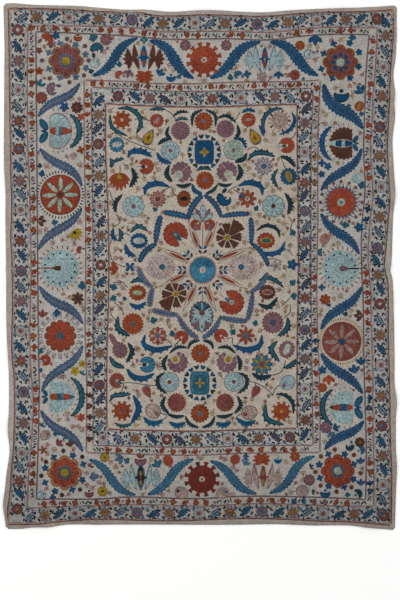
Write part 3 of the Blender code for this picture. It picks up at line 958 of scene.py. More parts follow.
# Pair of feathered wings with beads, about a banded almond along its turn with two side arms
def wingPalmette(piece, c, r, turn, look, bands):
    wing, edge, halo = look
    for side in (-1, 1):
        for start, middle, tip, half in feathers:
            path = bent(placed(c, r, turn, [(a, side * b) for a, b in (start, middle, tip)]), 15)
            fat = half * r * taper(15, 0.95)
            sewAlong(piece, path, fat * 1.1, edge, "under")
            sewAlong(piece, path[1:-1], fat[1:-1] * 0.86, wing, "fill")
        body = placed(c, r, turn, [(-0.04, side * 0.74), (-0.04, side * 0.5)])
        sewRound(piece, body[0], r * 0.2, wing, "detail", sides=20)
        sewRound(piece, body[1], r * 0.16, wing, "detail", sides=14)
        for start, middle, tip, half in feathers[:5]:
            ends = placed(c, r, turn, [(middle[0] * 0.6, side * middle[1] * 0.8),
                                       (tip[0] * 0.9, side * tip[1] * 0.9)])
            tick(piece, ends[0], ends[1], 1.1 * mm, edge, "centre")
    top, bottom = placed(c, r, turn, [(0.84, 0), (-0.68, 0)])
    armLeft, armRight = placed(c, r, turn, [(0.02, -0.42), (0.02, 0.42)])
    for grow, dye, layer in [(1.0, halo, "fill"), (0.8, bands[0], "detail")]:
        n = 19
        shape = taper(n, 0.85)
        t = np.linspace(-0.5, 0.5, n)[:, None] * grow
        sewAlong(piece, (top + bottom) / 2 + (bottom - top) * t, r * 0.23 * grow * shape, dye, layer)
        sewAlong(piece, (armLeft + armRight) / 2 + (armRight - armLeft) * t, r * 0.13 * grow * shape, dye,
                 layer)
    for far, long, dye in [(0.25, 0.15, bands[1]), (-0.25, 0.15, bands[1]), (0.0, 0.09, bands[2])]:
        sewRound(piece, turned(c, r * far, turn), r * long, dye, "centre", sides=12, tall=0.62, turn=turn)


# Round with eight pointed petals in outlines, beads between them, a hub, and stitches all round
def petalDisc(piece, c, r, turn, look, ticks):
    body, edge, leaf, hub, heart = look
    sewRound(piece, c, r, edge, "under", sides=60)
    sewRound(piece, c, r * 0.96, body, "fill", sides=60)
    for k in range(8):
        angle = turn + 45 * k + 3 * np.sin(5 * k)
        petal(piece, c, r * 0.8, r * 0.15, angle, edge, "detail", r * 0.14, 0.6, -0.1)
        petal(piece, c, r * 0.76, r * 0.12, angle, leaf, "centre", r * 0.16, 0.6, -0.1, 11)
        for far in (0.6, 0.78):
            dot(piece, turned(c, r * far, angle + 22.5), r * 0.045, "rust")
    dot(piece, c, r * 0.15, hub, "centre")
    dot(piece, c, r * 0.075, heart, "centre")
    dye, count = ticks
    ring(c, r * 1.04, count, lambda p, a: tick(piece, p, turned(c, r * 1.22, a), 2.8 * mm, dye), turn)


# Pale round with a ring of beads, hooked stitches round it, and a pear-shaped core on a tapered stalk
def paleDisc(piece, c, r, turn, look):
    body, edge, beads, core, stalk = look
    sewRound(piece, c, r, edge, "under", lobes(24, 0.03), sides=72)
    sewRound(piece, c, r * 0.97, body, "fill", sides=56)
    ring(c, r * 0.79, 14, lambda p, a: dot(piece, p, r * 0.06, beads), turn + 12)
    for k in range(26):
        angle = turn + 360 * k / 26
        far = turned(c, r * 1.18, angle)
        tick(piece, turned(c, r * 1.01, angle), far, 3.0 * mm, "madder" if k % 2 else "walnut")
        tick(piece, far, turned(far, 6 * mm, angle + 90), 2.2 * mm, "walnut")
    petal(piece, turned(c, r * 0.2, turn), r * 0.85, r * 0.045, turn, stalk, "detail", 0.0, 0.6, 0.0, 19)
    petal(piece, turned(c, -r * 0.08, turn), r * 0.5, r * 0.15, turn, "walnut", "centre", 0.0, 0.8, -0.35, 15)
    petal(piece, turned(c, -r * 0.05, turn), r * 0.36, r * 0.11, turn, core, "top", 0.0, 0.8, -0.35, 15)


# Corner flower: eight round petals in an outline, darker waves inside, a ring of beads or points, and a core
def rosette(piece, c, r, turn, look, pointed):
    outlineDye, petalDye, inner, toothed, core = look
    for k in range(8):
        angle = turn + 45 * k
        sewRound(piece, turned(c, r * 0.68, angle), r * 0.32, outlineDye, "under", sides=20)
    for k in range(8):
        angle = turn + 45 * k
        spot = turned(c, r * 0.67, angle)
        sewRound(piece, spot, r * 0.285, petalDye, "fill", sides=20)
        for reach, half, dye in [(0.2, 0.05, inner), (0.1, 0.03, "walnut")]:
            sewAlong(piece, arc(spot, r * reach, angle - 100, angle + 100, 13), r * half * taper(13, 0.5),
                     dye, "detail")
    sewRound(piece, c, r * 0.58, petalDye, "fill", sides=32)
    if pointed:
        sewRound(piece, c, r * 0.52, toothed, "detail", points(16, 0.46), sides=96, turn=turn)
    else:
        ring(c, r * 0.42, 8, lambda p, a: sewRound(piece, p, r * 0.12, toothed, "centre", sides=10), turn)
    sewRound(piece, c, r * 0.29, "plum", "centre", sides=24, hole=0.8)
    sewRound(piece, c, r * 0.25, core, "centre", lobes(8, 0.08), sides=24)
    ring(c, r * 0.14, 6, lambda p, a: dot(piece, p, r * 0.02, "ochre", "centre"), turn)


kinds = dict(daisy=daisy, bloom=bloom, cog=cogFlower, wheel=wheel, ribbed=ribbedRound, carnation=carnation,
             pomegranate=pomegranate, drop=drop, paisley=paisley, flame=flame, tulip=tulip, star=star,
             spray=spray, bud=leafBud, bead=beadRound, bowl=bowl, lotus=lotus)
tealLook, darkLook = ("teal", "darkTeal"), ("darkTeal", "darkTeal")
blueLook, deepLook = ("indigo", "deepBlue"), ("deepBlue", "teal")


# Each row: kind, place in photo pixels, size in millimetres, turn, look, and any counts of its own
def sewRows(piece, rows, grow=1.0):
    for kind, x, y, size, turn, look, *more in rows:
        kinds[kind](piece, at(x, y), size * grow * mm, turn, look, *more)


print("suzani: drawing the main border")

# Dyes of the long leaves by side: edge, body, streaks and midrib
leafLooks = dict(top=("deepBlue", "indigo", "sky", "plum"), left=("indigo", "slateBlue", "plum", "mauve"),
                 right=("deepBlue", "indigo", "slateBlue", "plum"),
                 bottom=("indigo", "sky", "slateBlue", "plum"))
# Long leaves: start and end place in photo pixels, then double bow, half width and single bow in millimetres
longLeaves = dict(
    top=[(92, 76, 138, 38, -15, 26, 0), (149, 40.6, 194, 78.6, 15, 30, 12),
         (209.6, 78.6, 261, 41.9, -15, 29, 12), (269.7, 42, 318.5, 75.8, 15, 31, 14)],
    left=[(80, 83, 38, 117, 11, 24, 0), (39.5, 148, 82.3, 186, -12, 24, 9), (82, 207.5, 38, 250, 12, 24, 0),
          (39.3, 286, 83, 324, -13, 25, 0), (83, 345, 41.5, 392, 14, 23, 0),
          (40.5, 410, 83, 452, -13, 24, 0)],
    right=[(323.6, 83.3, 363, 129, -16, 33, -20), (361.8, 148, 320.7, 191, 13, 25, 12),
           (320.7, 213, 359.5, 254.5, -11, 26, 0), (361.8, 286.5, 320.7, 330, 13, 26, 0),
           (320.7, 353, 362.8, 394, -10, 27, 0), (364, 420.5, 324.5, 450, 10, 26, 0)],
    bottom=[(88.7, 459.4, 136, 495, 15, 24, -8), (147, 495, 194, 459, -13, 25, 0),
            (210, 461, 257, 494, 13, 25, -6), (268.9, 493.5, 315, 456, -15, 24, 0)],
)
for side, rows in longLeaves.items():
    for x1, y1, x2, y2, bow, wide, lean in rows:
        bigLeaf("longLeaves", at(x1, y1), at(x2, y2), bow, lean, wide, leafLooks[side])

# Corner flowers: x, y, size in millimetres, turn and look, dyes of the stars and beads round it, their places
corners = [
    (66, 61, 79.5, 0, ("weld", "brick", "mauve", "slateBlue", "weld"), ("slateBlue", "mauve"),
     [(60, 43.4), (75.5, 45), (49, 52.5), (85.5, 54.5), (49, 69), (86, 68), (60, 77.6), (76, 77)],
     [(67, 39), (85, 46), (42, 60.5), (49.7, 78.3), (69.3, 82.3), (84, 75.5), (88.5, 60.5), (51, 46)]),
    (340.4, 62.3, 80, 0, ("ochre", "brick", "rust", "deepBlue", "paleGreen"), ("deepBlue", "ochre"),
     [(333.7, 43.8), (349.7, 43), (323.6, 53.5), (359, 52.2), (321.5, 69), (358.5, 66.5), (332.4, 78.3),
      (350, 77.9)], []),
    (64.6, 472.8, 78, 0, ("weld", "madder", "rose", "teal", "weld"), ("indigo", "walnut"),
     [(53.8, 457.3), (72.8, 455.6), (83.2, 464.2), (82.3, 480), (72.3, 489.6), (55, 491.3), (45.2, 482.7),
      (45.2, 468)], [(63.3, 450.8), (46, 461.8), (41.3, 475.8), (62, 495), (80, 489.6), (82.3, 456.8)]),
    (337.8, 471, 75, 0, ("brick", "madder", "madder", "teal", "paleGreen"), ("indigo", "rust"),
     [(328.3, 454.3), (344.7, 454.3), (354, 464.2), (353.3, 479.2), (344.2, 487), (328.7, 486), (320, 478),
      (319.2, 464.6)], [(334.8, 449.5), (321, 456.4), (354, 455), (315.4, 472), (360.6, 473.2),
                        (320.5, 485.7), (351.5, 487.4), (336.5, 491.7)]),
]
for x, y, size, turn, look, (starDye, beadDye), stars, beads in corners:
    c = at(x, y)
    rosette("cornerRosettes", c, size * mm, turn, look, look[3] in ("slateBlue", "teal"))
    for k, spot in enumerate(stars):
        away = at(*spot) - c
        star("cornerRosettes", at(*spot), 17 * mm, np.degrees(np.arctan2(away[1], away[0])),
             (starDye, "plum"), 4 + k % 2)
    for spot in beads:
        away = at(*spot) - c
        stalkDot("cornerRosettes", at(*spot), 9.5 * mm, 180 + np.degrees(np.arctan2(away[1], away[0])),
                 (beadDye, "ink"))

# Great flowers of the border; a half palmette's bands: start and end along it, and dye
halfPalmette("borderFlowers", at(57.5, 131), 80 * mm, 0, ("paleBlue", "mauve", "deepBlue", "darkTeal"),
             [(0.02, 0.26, "madder"), (0.26, 0.4, "paleBlue"), (0.4, 0.53, "sky"), (0.53, 0.94, "madder"),
              (0.94, 1, "darkTeal")])
halfPalmette("borderFlowers", at(57, 396.8), 76 * mm, 0, ("paleBlue", "mist", "teal", "darkTeal"),
             [(0.02, 0.3, "madder"), (0.3, 0.45, "teal"), (0.45, 0.55, "slateBlue"), (0.55, 0.8, "madder"),
              (0.8, 1, "teal")], (0.44, 1.02, 0.94), 0, 0.62)
halfPalmette("borderFlowers", at(344, 143.4), 72 * mm, 180, ("walnut", "brick", "teal", "deepBlue"),
             [(0.02, 0.3, "deepBlue"), (0.3, 0.45, "paleGreen"), (0.45, 0.7, "deepBlue"),
              (0.7, 1, "paleBlue")], (0.53, 0.93, 1.02), 24, 0.72)
halfPalmette("borderFlowers", at(345.6, 407.4), 76 * mm, 180, ("paleBlue", "mist", "deepBlue", "darkTeal"),
             [(0.02, 0.24, "madder"), (0.24, 0.34, "teal"), (0.34, 0.55, "indigo"), (0.55, 0.84, "madder"),
              (0.84, 1, "darkTeal")], (0.44, 0.92, 0.98))
petalDisc("borderFlowers", at(60.3, 194.8), 89 * mm, 0, ("madder", "walnut", "paleGreen", "walnut", "rose"),
          ("ink", 46))
petalDisc("borderFlowers", at(341.7, 341.4), 87 * mm, 0, ("brick", "madder", "ashMauve", "deepBlue", "sky"),
          ("weld", 58))
paleDisc("borderFlowers", at(60, 268.2), 84 * mm, 180, ("paleBlue", "mist", "ink", "walnut", "madder"))
paleDisc("borderFlowers", at(340.4, 268.5), 82 * mm, 0, ("paleBlue", "mist", "ink", "mauve", "ink"))
wingPalmette("borderFlowers", at(143.8, 58), 86 * mm, 90, ("walnut", "brick", "paleBlue"),
             ("deepBlue", "madder", "deepBlue"))
wingPalmette("borderFlowers", at(264.8, 59.5), 84 * mm, 90, ("paleBlue", "slateBlue", "mist"),
             ("indigo", "madder", "weld"))
wingPalmette("borderFlowers", at(140.8, 478), 84 * mm, 90, ("paleBlue", "slateBlue", "slateBlue"),
             ("ink", "ochre", "madder"))
wingPalmette("borderFlowers", at(263.2, 477.4), 82 * mm, 90, ("paleMauve", "mauve", "ivory"),
             ("brick", "ochre", "rust"))

# Cog flowers in the middle of the top and bottom sides
cogFlower("borderFlowers", at(204, 59.8), 79 * mm, 15, ("madder", "rust", "ivory", "ink"), 12)
cogFlower("borderFlowers", at(202, 479.2), 79 * mm, 15, ("oxblood", "walnut", "ivory", "ink"), 12)
# Scalloped discs with stitches and stalked beads round them: x, y, sizes of the disc and of the ring in
# millimetres, scallops, beads, and dyes of the beads, their eyes, the heart and the edge
discs = [(60.3, 336, 72, 70, 12, 20, "paleMauve", "slateBlue", "teal", "brick"),
         (341.2, 202.3, 75, 67, 26, 16, "mauve", "walnut", "paleGreen", "slateBlue")]
for x, y, disc, r, scallops, count, beadDye, eye, heart, edge in discs:
    c = at(x, y)
    daisy("borderFlowers", c, disc * mm, 0, ("madder", edge, heart), scallops)
    ring(c, r * 1.1 * mm, count * 2,
         lambda p, a: tick("borderFlowers", p, turned(c, r * 1.26 * mm, a), 1.9 * mm, "ink"), 4)
    ring(c, r * 1.36 * mm, count,
         lambda p, a: stalkDot("borderFlowers", p, 7.5 * mm, a + 180, (beadDye, eye)))

sewRows("borderSmall", [
    # top side
    ("paisley", 46.5, 41, 28, 150, ("madder", "brick"), -1),
    ("tulip", 53.5, 44.5, 12, -40, ("mauve", "plum")),
    ("star", 56, 35.5, 18, 40, ("indigo", "sky"), 5), ("bowl", 78, 37, 22, 90, ("rust", "walnut")),
    ("spray", 78, 35.6, 13, 90, ("ochre",)), ("bud", 93, 38, 20, 20, ("teal", "indigo")),
    ("daisy", 106, 39.5, 25, 10, ("mauve", "brick", "rose"), 9),
    ("paisley", 98, 50.5, 28, 200, tealLook, -1),
    ("bead", 95, 63, 23, 40, ("mist", "slateBlue", "paleMauve")),
    ("bud", 91, 71.5, 13, 25, ("darkTeal", "teal")),
    ("paisley", 119.5, 76, 18, 30, ("madder", "brick"), 1),
    ("tulip", 128.5, 73.5, 19, 250, ("mauve", "plum")),
    ("bud", 119.5, 64.5, 13, 100, ("indigo", "plum")), ("star", 144, 40, 17, 90, ("teal", "mist"), 4),
    ("lotus", 144.3, 76.5, 40, 270, ("madder", "rust")), ("tulip", 160.5, 72.5, 17, 60, ("indigo", "sky")),
    ("bowl", 171, 77, 24, 90, blueLook), ("bud", 179, 76.5, 12, 200, ("teal", "deepBlue")),
    ("daisy", 185.3, 45.3, 23, 0, ("mauve", "brick", "rose"), 9),
    ("daisy", 226.3, 45.3, 23, 20, ("mauve", "brick", "rose"), 9),
    ("bud", 230.6, 77.6, 15, 100, ("teal", "deepBlue")),
    ("paisley", 238.3, 76, 18, 20, ("teal", "deepBlue"), 1),
    ("star", 247.2, 74.2, 18, 100, ("indigo", "sky"), 4),
    ("bloom", 262, 76.5, 23, 0, ("mauve", "paleMauve", "paleMauve"), 7),
    ("star", 204, 81, 16, 90, ("paleMauve", "mauve"), 5),
    ("daisy", 300, 45.5, 21, 0, ("rust", "ochre", "ochre"), 10),
    ("tulip", 315.3, 40, 24, 270, ("indigo", "teal")),
    ("paisley", 309.5, 55, 21, 60, ("mist", "slateBlue"), 1),
    ("daisy", 294.8, 75, 22, 0, ("madder", "indigo", "brick"), 9),
    ("tulip", 278.5, 75, 17, 270, blueLook),
    ("bud", 303.5, 78.6, 8, 200, ("teal", "indigo")), ("bud", 352, 37.8, 17, 0, tealLook),
    ("spray", 361.5, 42, 20, 20, ("mist",)),
    ("spray", 118.5, 39.5, 11, 30, ("paleBlue",)),
    # left side
    ("spray", 39.5, 85, 25, 70, ("teal",)), ("daisy", 41.3, 97.8, 25, 30, ("brick", "walnut", "rust"), 10),
    ("star", 39.3, 71, 18, 90, ("rust", "brick"), 5), ("star", 39.3, 50.5, 15, 200, ("brick", "walnut"), 5),
    ("paisley", 54, 90, 27, 70, ("mauve", "plum"), 1),
    ("bloom", 77, 107.5, 26, 20, ("walnut", "brick", "walnut"), 9),
    ("star", 64.3, 107, 21, 50, ("indigo", "teal"), 5), ("star", 80.7, 117, 16, 60, ("madder", "brick"), 5),
    ("bead", 73.2, 156, 16, 60, ("paleMauve", "mauve", "paleMauve")),
    ("tulip", 47.3, 165.8, 17, 60, ("paleMauve", "mauve")),
    ("tulip", 80.6, 165, 14, 80, ("paleMauve", "mauve")), ("star", 80.8, 150, 18, 20, ("rust", "walnut"), 4),
    ("bud", 42, 174, 16, 80, ("indigo", "teal")), ("bud", 39.8, 166, 12, 90, ("darkTeal", "teal")),
    ("tulip", 41.6, 221, 19, 0, ("walnut", "paleMauve")), ("bud", 54.5, 222.5, 15, 15, tealLook),
    ("flame", 76.2, 234.6, 27, -55, ("weld", "weld", "ink"), 7),
    ("paisley", 80.6, 250.5, 15, 60, ("rust", "walnut"), 1),
    ("bud", 82.2, 286, 20, 90, ("teal", "indigo")),
    ("bloom", 77.7, 298.5, 27, 90, ("walnut", "walnut", "walnut"), 7, 0.26),
    ("tulip", 42.4, 313.6, 18, 85, ("brick", "rust")), ("bud", 56.7, 313.3, 19, 0, ("indigo", "teal")),
    ("carnation", 45.2, 360.2, 24, 205, ("madder", "rust", "teal"), 24),
    ("bud", 40.6, 351, 15, 60, tealLook),
    ("star", 82.3, 364, 17, 10, ("weld", "walnut"), 5), ("star", 75.2, 371, 21, 60, ("weld", "ochre"), 5),
    ("spray", 82, 374, 16, 60, ("teal",)), ("bud", 40.8, 370.5, 11, 70, tealLook),
    ("bead", 45.2, 435.3, 23, 30, ("paleMauve", "plum", "brick")),
    ("bud", 55.5, 433.6, 14, 10, ("teal", "indigo")),
    ("spray", 42, 426, 16, 60, ("teal",)),
    ("bloom", 81.1, 417.4, 19, 40, ("madder", "brick", "madder"), 6, 0.3),
    ("tulip", 59.4, 442.8, 16, 40, ("brick", "rust")), ("tulip", 70, 443.6, 15, 100, ("walnut", "brick")),
    ("spray", 64, 437.6, 14, 330, ("teal",)), ("bloom", 43, 450, 19, 250, ("rust", "walnut", "rust"), 5),
    ("bead", 41.5, 495, 20, 20, ("paleBlue", "teal", "mist")),
    ("bud", 52.5, 497.3, 14, 5, ("indigo", "plum")),
    # bottom side
    ("bowl", 89.2, 492.8, 23, 90, ("brick", "walnut")), ("bud", 93.5, 476.8, 22, 10, ("slateBlue", "mauve")),
    ("daisy", 102.5, 491.3, 22, 20, ("weld", "ochre", "ink"), 8),
    ("daisy", 104.8, 457.4, 20, 0, ("weld", "walnut", "ink"), 8),
    ("spray", 90, 466.5, 16, 60, ("brick",)), ("tulip", 119.3, 458.6, 20, 200, ("slateBlue", "plum")),
    ("bud", 126.8, 461, 15, 60, ("teal", "slateBlue")), ("bowl", 140.5, 459.8, 30, 90, ("mauve", "brick")),
    ("spray", 140.5, 457, 18, 90, ("brick",)), ("tulip", 157, 463.6, 19, 120, ("teal", "slateBlue")),
    ("pomegranate", 168, 460.5, 24, 120, ("madder", "brick", "brick", "madder", "ink")),
    ("tulip", 200.3, 457.6, 15, 90, ("paleMauve", "mauve")),
    ("pomegranate", 235.2, 459.4, 23, 60, ("madder", "brick", "brick", "madder", "ink")),
    ("tulip", 246, 456.4, 13, 0, ("indigo", "sky")),
    ("tulip", 246, 462.2, 16, 60, ("slateBlue", "teal")), ("lotus", 261.6, 459.6, 38, 90, ("madder", "rust")),
    ("bead", 181.4, 493, 29, 150, ("paleMauve", "walnut", "ink")),
    ("bead", 222.7, 493, 27, 20, ("paleMauve", "mauve", "deepBlue")),
    ("bowl", 278, 459.6, 20, 90, ("indigo", "sky")),
    ("bloom", 295, 456.6, 23, 10, ("rust", "ochre", "rust"), 8),
    ("spray", 310.5, 467, 15, 30, ("darkTeal",)), ("daisy", 309.3, 480, 24, 0, ("mauve", "brick", "rose"), 9),
    ("bead", 302.3, 491, 27, 0, ("paleMauve", "slateBlue", "paleMauve")),
    ("spray", 312.5, 492, 13, 0, ("darkTeal",)),
    ("bowl", 325.3, 492.8, 26, 90, blueLook),
    ("bowl", 357.4, 494, 25, 215, ("darkTeal", "teal")),
    ("bud", 347.5, 494.8, 13, 0, tealLook), ("bud", 129.5, 488, 9, 40, ("paleBlue", "mist")),
    # right side
    ("bowl", 341.4, 94.4, 39, 90, ("deepBlue", "darkTeal")), ("tulip", 360, 89.8, 21, 130, ("indigo", "sky")),
    ("pomegranate", 359.4, 106.2, 22, 60, ("rust", "madder", "weld", "ochre", "brick")),
    ("bud", 348.6, 106, 11, 20, tealLook),
    ("bud", 361.3, 114, 12, 10, ("indigo", "teal")), ("star", 322, 163, 17, 90, blueLook, 4),
    ("star", 327.8, 166.4, 17, 60, ("indigo", "sky"), 5),
    ("star", 321.6, 174.2, 16, 30, blueLook, 5),
    ("bead", 356.4, 178.3, 23, 30, ("paleBlue", "mist", "paleBlue")),
    ("bud", 361.6, 185.5, 18, 70, tealLook),
    ("bud", 345.2, 225.1, 17, 0, ("teal", "indigo")), ("star", 359, 227.3, 21, 180, ("indigo", "sky"), 5),
    ("bead", 324.7, 238.8, 23, 60, ("rose", "rust", "madder")),
    ("bowl", 321.6, 252.4, 20, 0, tealLook),
    ("star", 321.8, 287.4, 16, 90, ("indigo", "teal"), 4),
    ("bloom", 325.2, 299.6, 24, 80, ("rust", "madder", "rust"), 7, 0.3),
    ("star", 329, 305, 10, 300, ("deepBlue", "plum"), 4),
    ("tulip", 358.6, 315.6, 20, 180, ("walnut", "paleMauve")),
    ("bud", 345.7, 313.8, 12, 190, ("darkTeal", "teal")), ("tulip", 360.9, 361, 18, 90, ("indigo", "teal")),
    ("tulip", 354.2, 369, 20, 100, ("indigo", "sky")), ("star", 322.5, 370, 19, 100, ("indigo", "teal"), 5),
    ("tulip", 328.8, 379.8, 21, 270, ("madder", "brick")),
    ("daisy", 322.4, 387.6, 20, 0, ("rust", "madder", "ochre"), 9),
    ("daisy", 325.8, 427.4, 25, 0, ("mauve", "plum", "paleMauve"), 9),
    ("spray", 323, 419, 15, 90, ("darkTeal",)),
    ("tulip", 336, 427.6, 15, 20, ("indigo", "teal")),
    ("tulip", 331, 434.6, 15, 300, ("slateBlue", "deepBlue")),
    ("paisley", 349, 446, 19, 30, ("darkTeal", "teal"), -1),
    ("daisy", 359.8, 442.2, 21, 0, ("walnut", "ink", "ochre"), 8),
    ("bowl", 360.4, 450, 22, 200, ("teal", "indigo")), ("tulip", 360.5, 460.7, 15, 90, ("indigo", "sky")),
    ("tulip", 360.8, 482.3, 15, 90, ("indigo", "slateBlue")), ("bud", 318, 415, 8, 80, tealLook),
], 1.1)

# Curls of the border by dye: photo places
borderCurls = [
    ("rust", [(112.5, 38), (104.5, 52.3), (71, 98.6), (79, 98.8), (46, 229), (40, 232), (62, 239.8),
              (68, 236), (80, 222.5), (63, 294.6), (70, 297), (67.5, 413.5), (75, 415.8), (78, 426.6),
              (82, 429.4), (48, 444.8), (47, 454), (54, 449.5), (74, 449), (111, 462.5), (115, 466.6),
              (123, 490.8), (157.5, 457.4), (186, 458.2), (170, 466), (173, 470)]),
    ("ochre", [(138, 43), (150, 45), (169.6, 66), (173, 70.3), (237, 66.3), (233.6, 71), (246, 80.6),
               (185, 81.6), (310, 46), (317.5, 47.5), (286, 74.5), (354, 91.5), (352, 96), (322.5, 111.5),
               (325.8, 114.6), (338, 163), (331, 235.6), (338, 243.4), (320.6, 230), (334, 299.4),
               (340, 296.2), (321.3, 310), (320, 315.2), (351, 311), (355, 304.8), (325, 441.5),
               (303.6, 473.5), (302, 480), (291, 492), (286.4, 462), (320, 158)]),
    ("brick", [(38, 152.4), (44.6, 376), (63.6, 376.3), (60, 376.6), (84, 309), (81.4, 305), (220.4, 457.6),
               (225, 459), (233.6, 467.6), (236.6, 471), (162, 494), (232.6, 494.4), (104, 484),
               (98.6, 482.6), (92.4, 487.5), (323.8, 245.5), (98, 466), (126, 42.5), (289.6, 74.6),
               (283.6, 41.6), (331, 40.6)]),
]
for dye, spots in borderCurls:
    for k, spot in enumerate(spots):
        curl("borderCurls", at(*spot), (10 + 1.5 * (k % 3)) * mm, 77 * k, dye, 1 if k % 2 else -1)
        if k % 2 == 0:
            stem("borderCurls", arc(turned(at(*spot), 16 * mm, 50 * k), 13 * mm, 50 * k + 90, 50 * k + 200,
                                    9), curlWide, dye)


print("suzani: drawing the field")

# Medallion frame: places of its tips and notches in photo pixels, and dyes of its four quarters from the top
frameTips = [((204.5, 195.5), (221, 217)), ((249, 214), (223, 216.3)), ((250.5, 218), (251, 243)),
             ((268, 266), (251.3, 243.6)), ((267, 273), (250.8, 291.6)), ((247.3, 320), (252.5, 293)),
             ((246.5, 321), (220, 317)), ((203, 337.5), (219.4, 318.5)), ((198, 338), (178.6, 316)),
             ((152.5, 310), (177.8, 314.8)), ((150, 306.5), (152.8, 288.4)), ((139, 268), (152.3, 287)),
             ((139.6, 262), (156.3, 244)), ((160.8, 216), (155.8, 242)), ((164, 212.6), (189.8, 218)),
             ((202.4, 195.8), (189.2, 217.5))]
frameLooks = [("plum", "indigo"), ("plum", "slateBlue"), ("mauve", "slateBlue"), ("plum", "indigo")]
for k, (tip, notch) in enumerate(frameTips):
    edge, body = frameLooks[k // 4]
    a, b = at(*tip), at(*notch)
    t = np.linspace(0, 1, 34)[:, None]
    side = np.array([-(b - a)[1], (b - a)[0]]) / np.linalg.norm(b - a)
    bow = 13 if k % 4 in (0, 3) else 4
    path = a + (b - a) * (1.08 * t - 0.04) + side * bow * mm * np.sin(np.pi * t) * (-1 if k % 2 else 1)
    fat = (13 if k < 8 else 15) * mm * taper(34, 0.25)
    sewAlong("medallion", path, (fat * 1.25 * teeth(34, 8, 0.45), fat * 1.25 * teeth(34, 8, 0.45)), edge,
             "under")
    sewAlong("medallion", path[1:-1], fat[1:-1] * 0.66, body, "fill")
    sewAlong("medallion", path[3:-3], fat[3:-3] * 0.16, "sky" if body == "indigo" else "plum", "detail",
             thin=True)

# Middle round in a toothed border: dark arcs over paler ones on blue, and a pale core with beads
hub = at(202.7, 270)
sewRound("medallion", hub, 65 * mm, "brick", "under", points(40, 0.16), sides=160)
sewRound("medallion", hub, 56 * mm, "hubBlue", "fill", sides=44)
sewRound("medallion", hub, 55 * mm, "sky", "detail", sides=44, hole=0.9)
for far, half in [(24, 1.6), (32, 2.6), (40, 2.4), (48, 1.6)]:
    stem("medallion", arc(hub, far * mm, 20, 160, 24), half * mm, "deepBlue", "centre")
    stem("medallion", arc(hub, far * mm, 200, 340, 18), 1.0 * mm, "sky", "centre")
sewRound("medallion", hub, 14.5 * mm, "ivory", "centre", lobes(8, 0.1), sides=24)
ring(hub, 8.5 * mm, 5, lambda p, a: dot("medallion", p, 3 * mm, "rose", "top"), 20)
dot("medallion", hub, 4.5 * mm, "madder", "top")

sewRows("medallion", [
    ("ribbed", 160.3, 267, 68, 0, ("ribPale", "mauve", "teal")),
    ("ribbed", 243, 267, 68, 180, ("ribPale", "mauve", "indigo")),
])
# Two red rounds with a bud in their notch: x, y, turn and half angle of the notch, dyes of core and bud
for x, y, turn, gap, core, budDye in [(175.5, 234.4, -48, 20, "sky", "teal"),
                                      (231.8, 302.4, 146, 22, "paleGreen", "slateBlue")]:
    c = at(x, y)
    carnation("medallion", c, 58 * mm, turn, ("madder", "brick", budDye), gap)
    dot("medallion", c, 12 * mm, core)
    dot("medallion", c, 5 * mm, "ivory" if core == "sky" else "slateBlue", "centre")
# Two palmettes of separate petals: x, y, turn of the longest, and lengths from it round, in millimetres
for x, y, turn, lengths in [(227.2, 237.6, 48, [90, 66, 54, 50, 52, 48, 60, 66]),
                            (175.8, 293.6, 228, [88, 64, 52, 50, 50, 48, 56, 64])]:
    c = at(x, y)
    for k, length in enumerate(lengths):
        angle = turn + 45 * k
        far = length * mm
        half = 19.5 if k else 24
        sewFan("medallion", c, 14 * mm, far, angle - half, angle + half, "walnut", "fill", lobes(26, 0.12),
               12)
        tick("medallion", turned(c, 22 * mm, angle), turned(c, far * 0.85, angle), 0.9 * mm, "brick",
             "detail")
    dot("medallion", c, 14 * mm, "weld")
    dot("medallion", c, 5.5 * mm, "ochre", "centre")
# Eight almonds sewn in outline, fat towards the middle round, with a red core there: tip, then fat end
for tip, fat in [((157, 246.6), (189, 262)), ((158.5, 287), (187.5, 273.6)), ((188, 219.5), (199, 249.5)),
                 ((182.6, 312), (195.6, 285.5)), ((217.6, 220.8), (204.8, 248.5)),
                 ((252.5, 246.6), (216, 260)), ((247.6, 289.6), (217, 274.6)), ((216.4, 312), (205.6, 286))]:
    a, b = at(*tip), at(*fat)
    t = np.linspace(0, 1, 25)
    path = a + (b - a) * t[:, None]
    swell = np.sin(np.pi * t**1.7) ** 0.75 + 0.03
    outline("medallion", path, 13 * mm * swell, 1.1 * mm, "brick")
    sewAlong("medallion", path[9:-2], 6.4 * mm * taper(14, 0.6), "madder", "fill")
    sewAlong("medallion", path[11:-4], 1.6 * mm * taper(10, 0.6), "walnut", "detail", thin=True)
    outline("medallion", path[6:-1], 9.4 * mm * taper(18, 0.6), 0.8 * mm, "ochre")

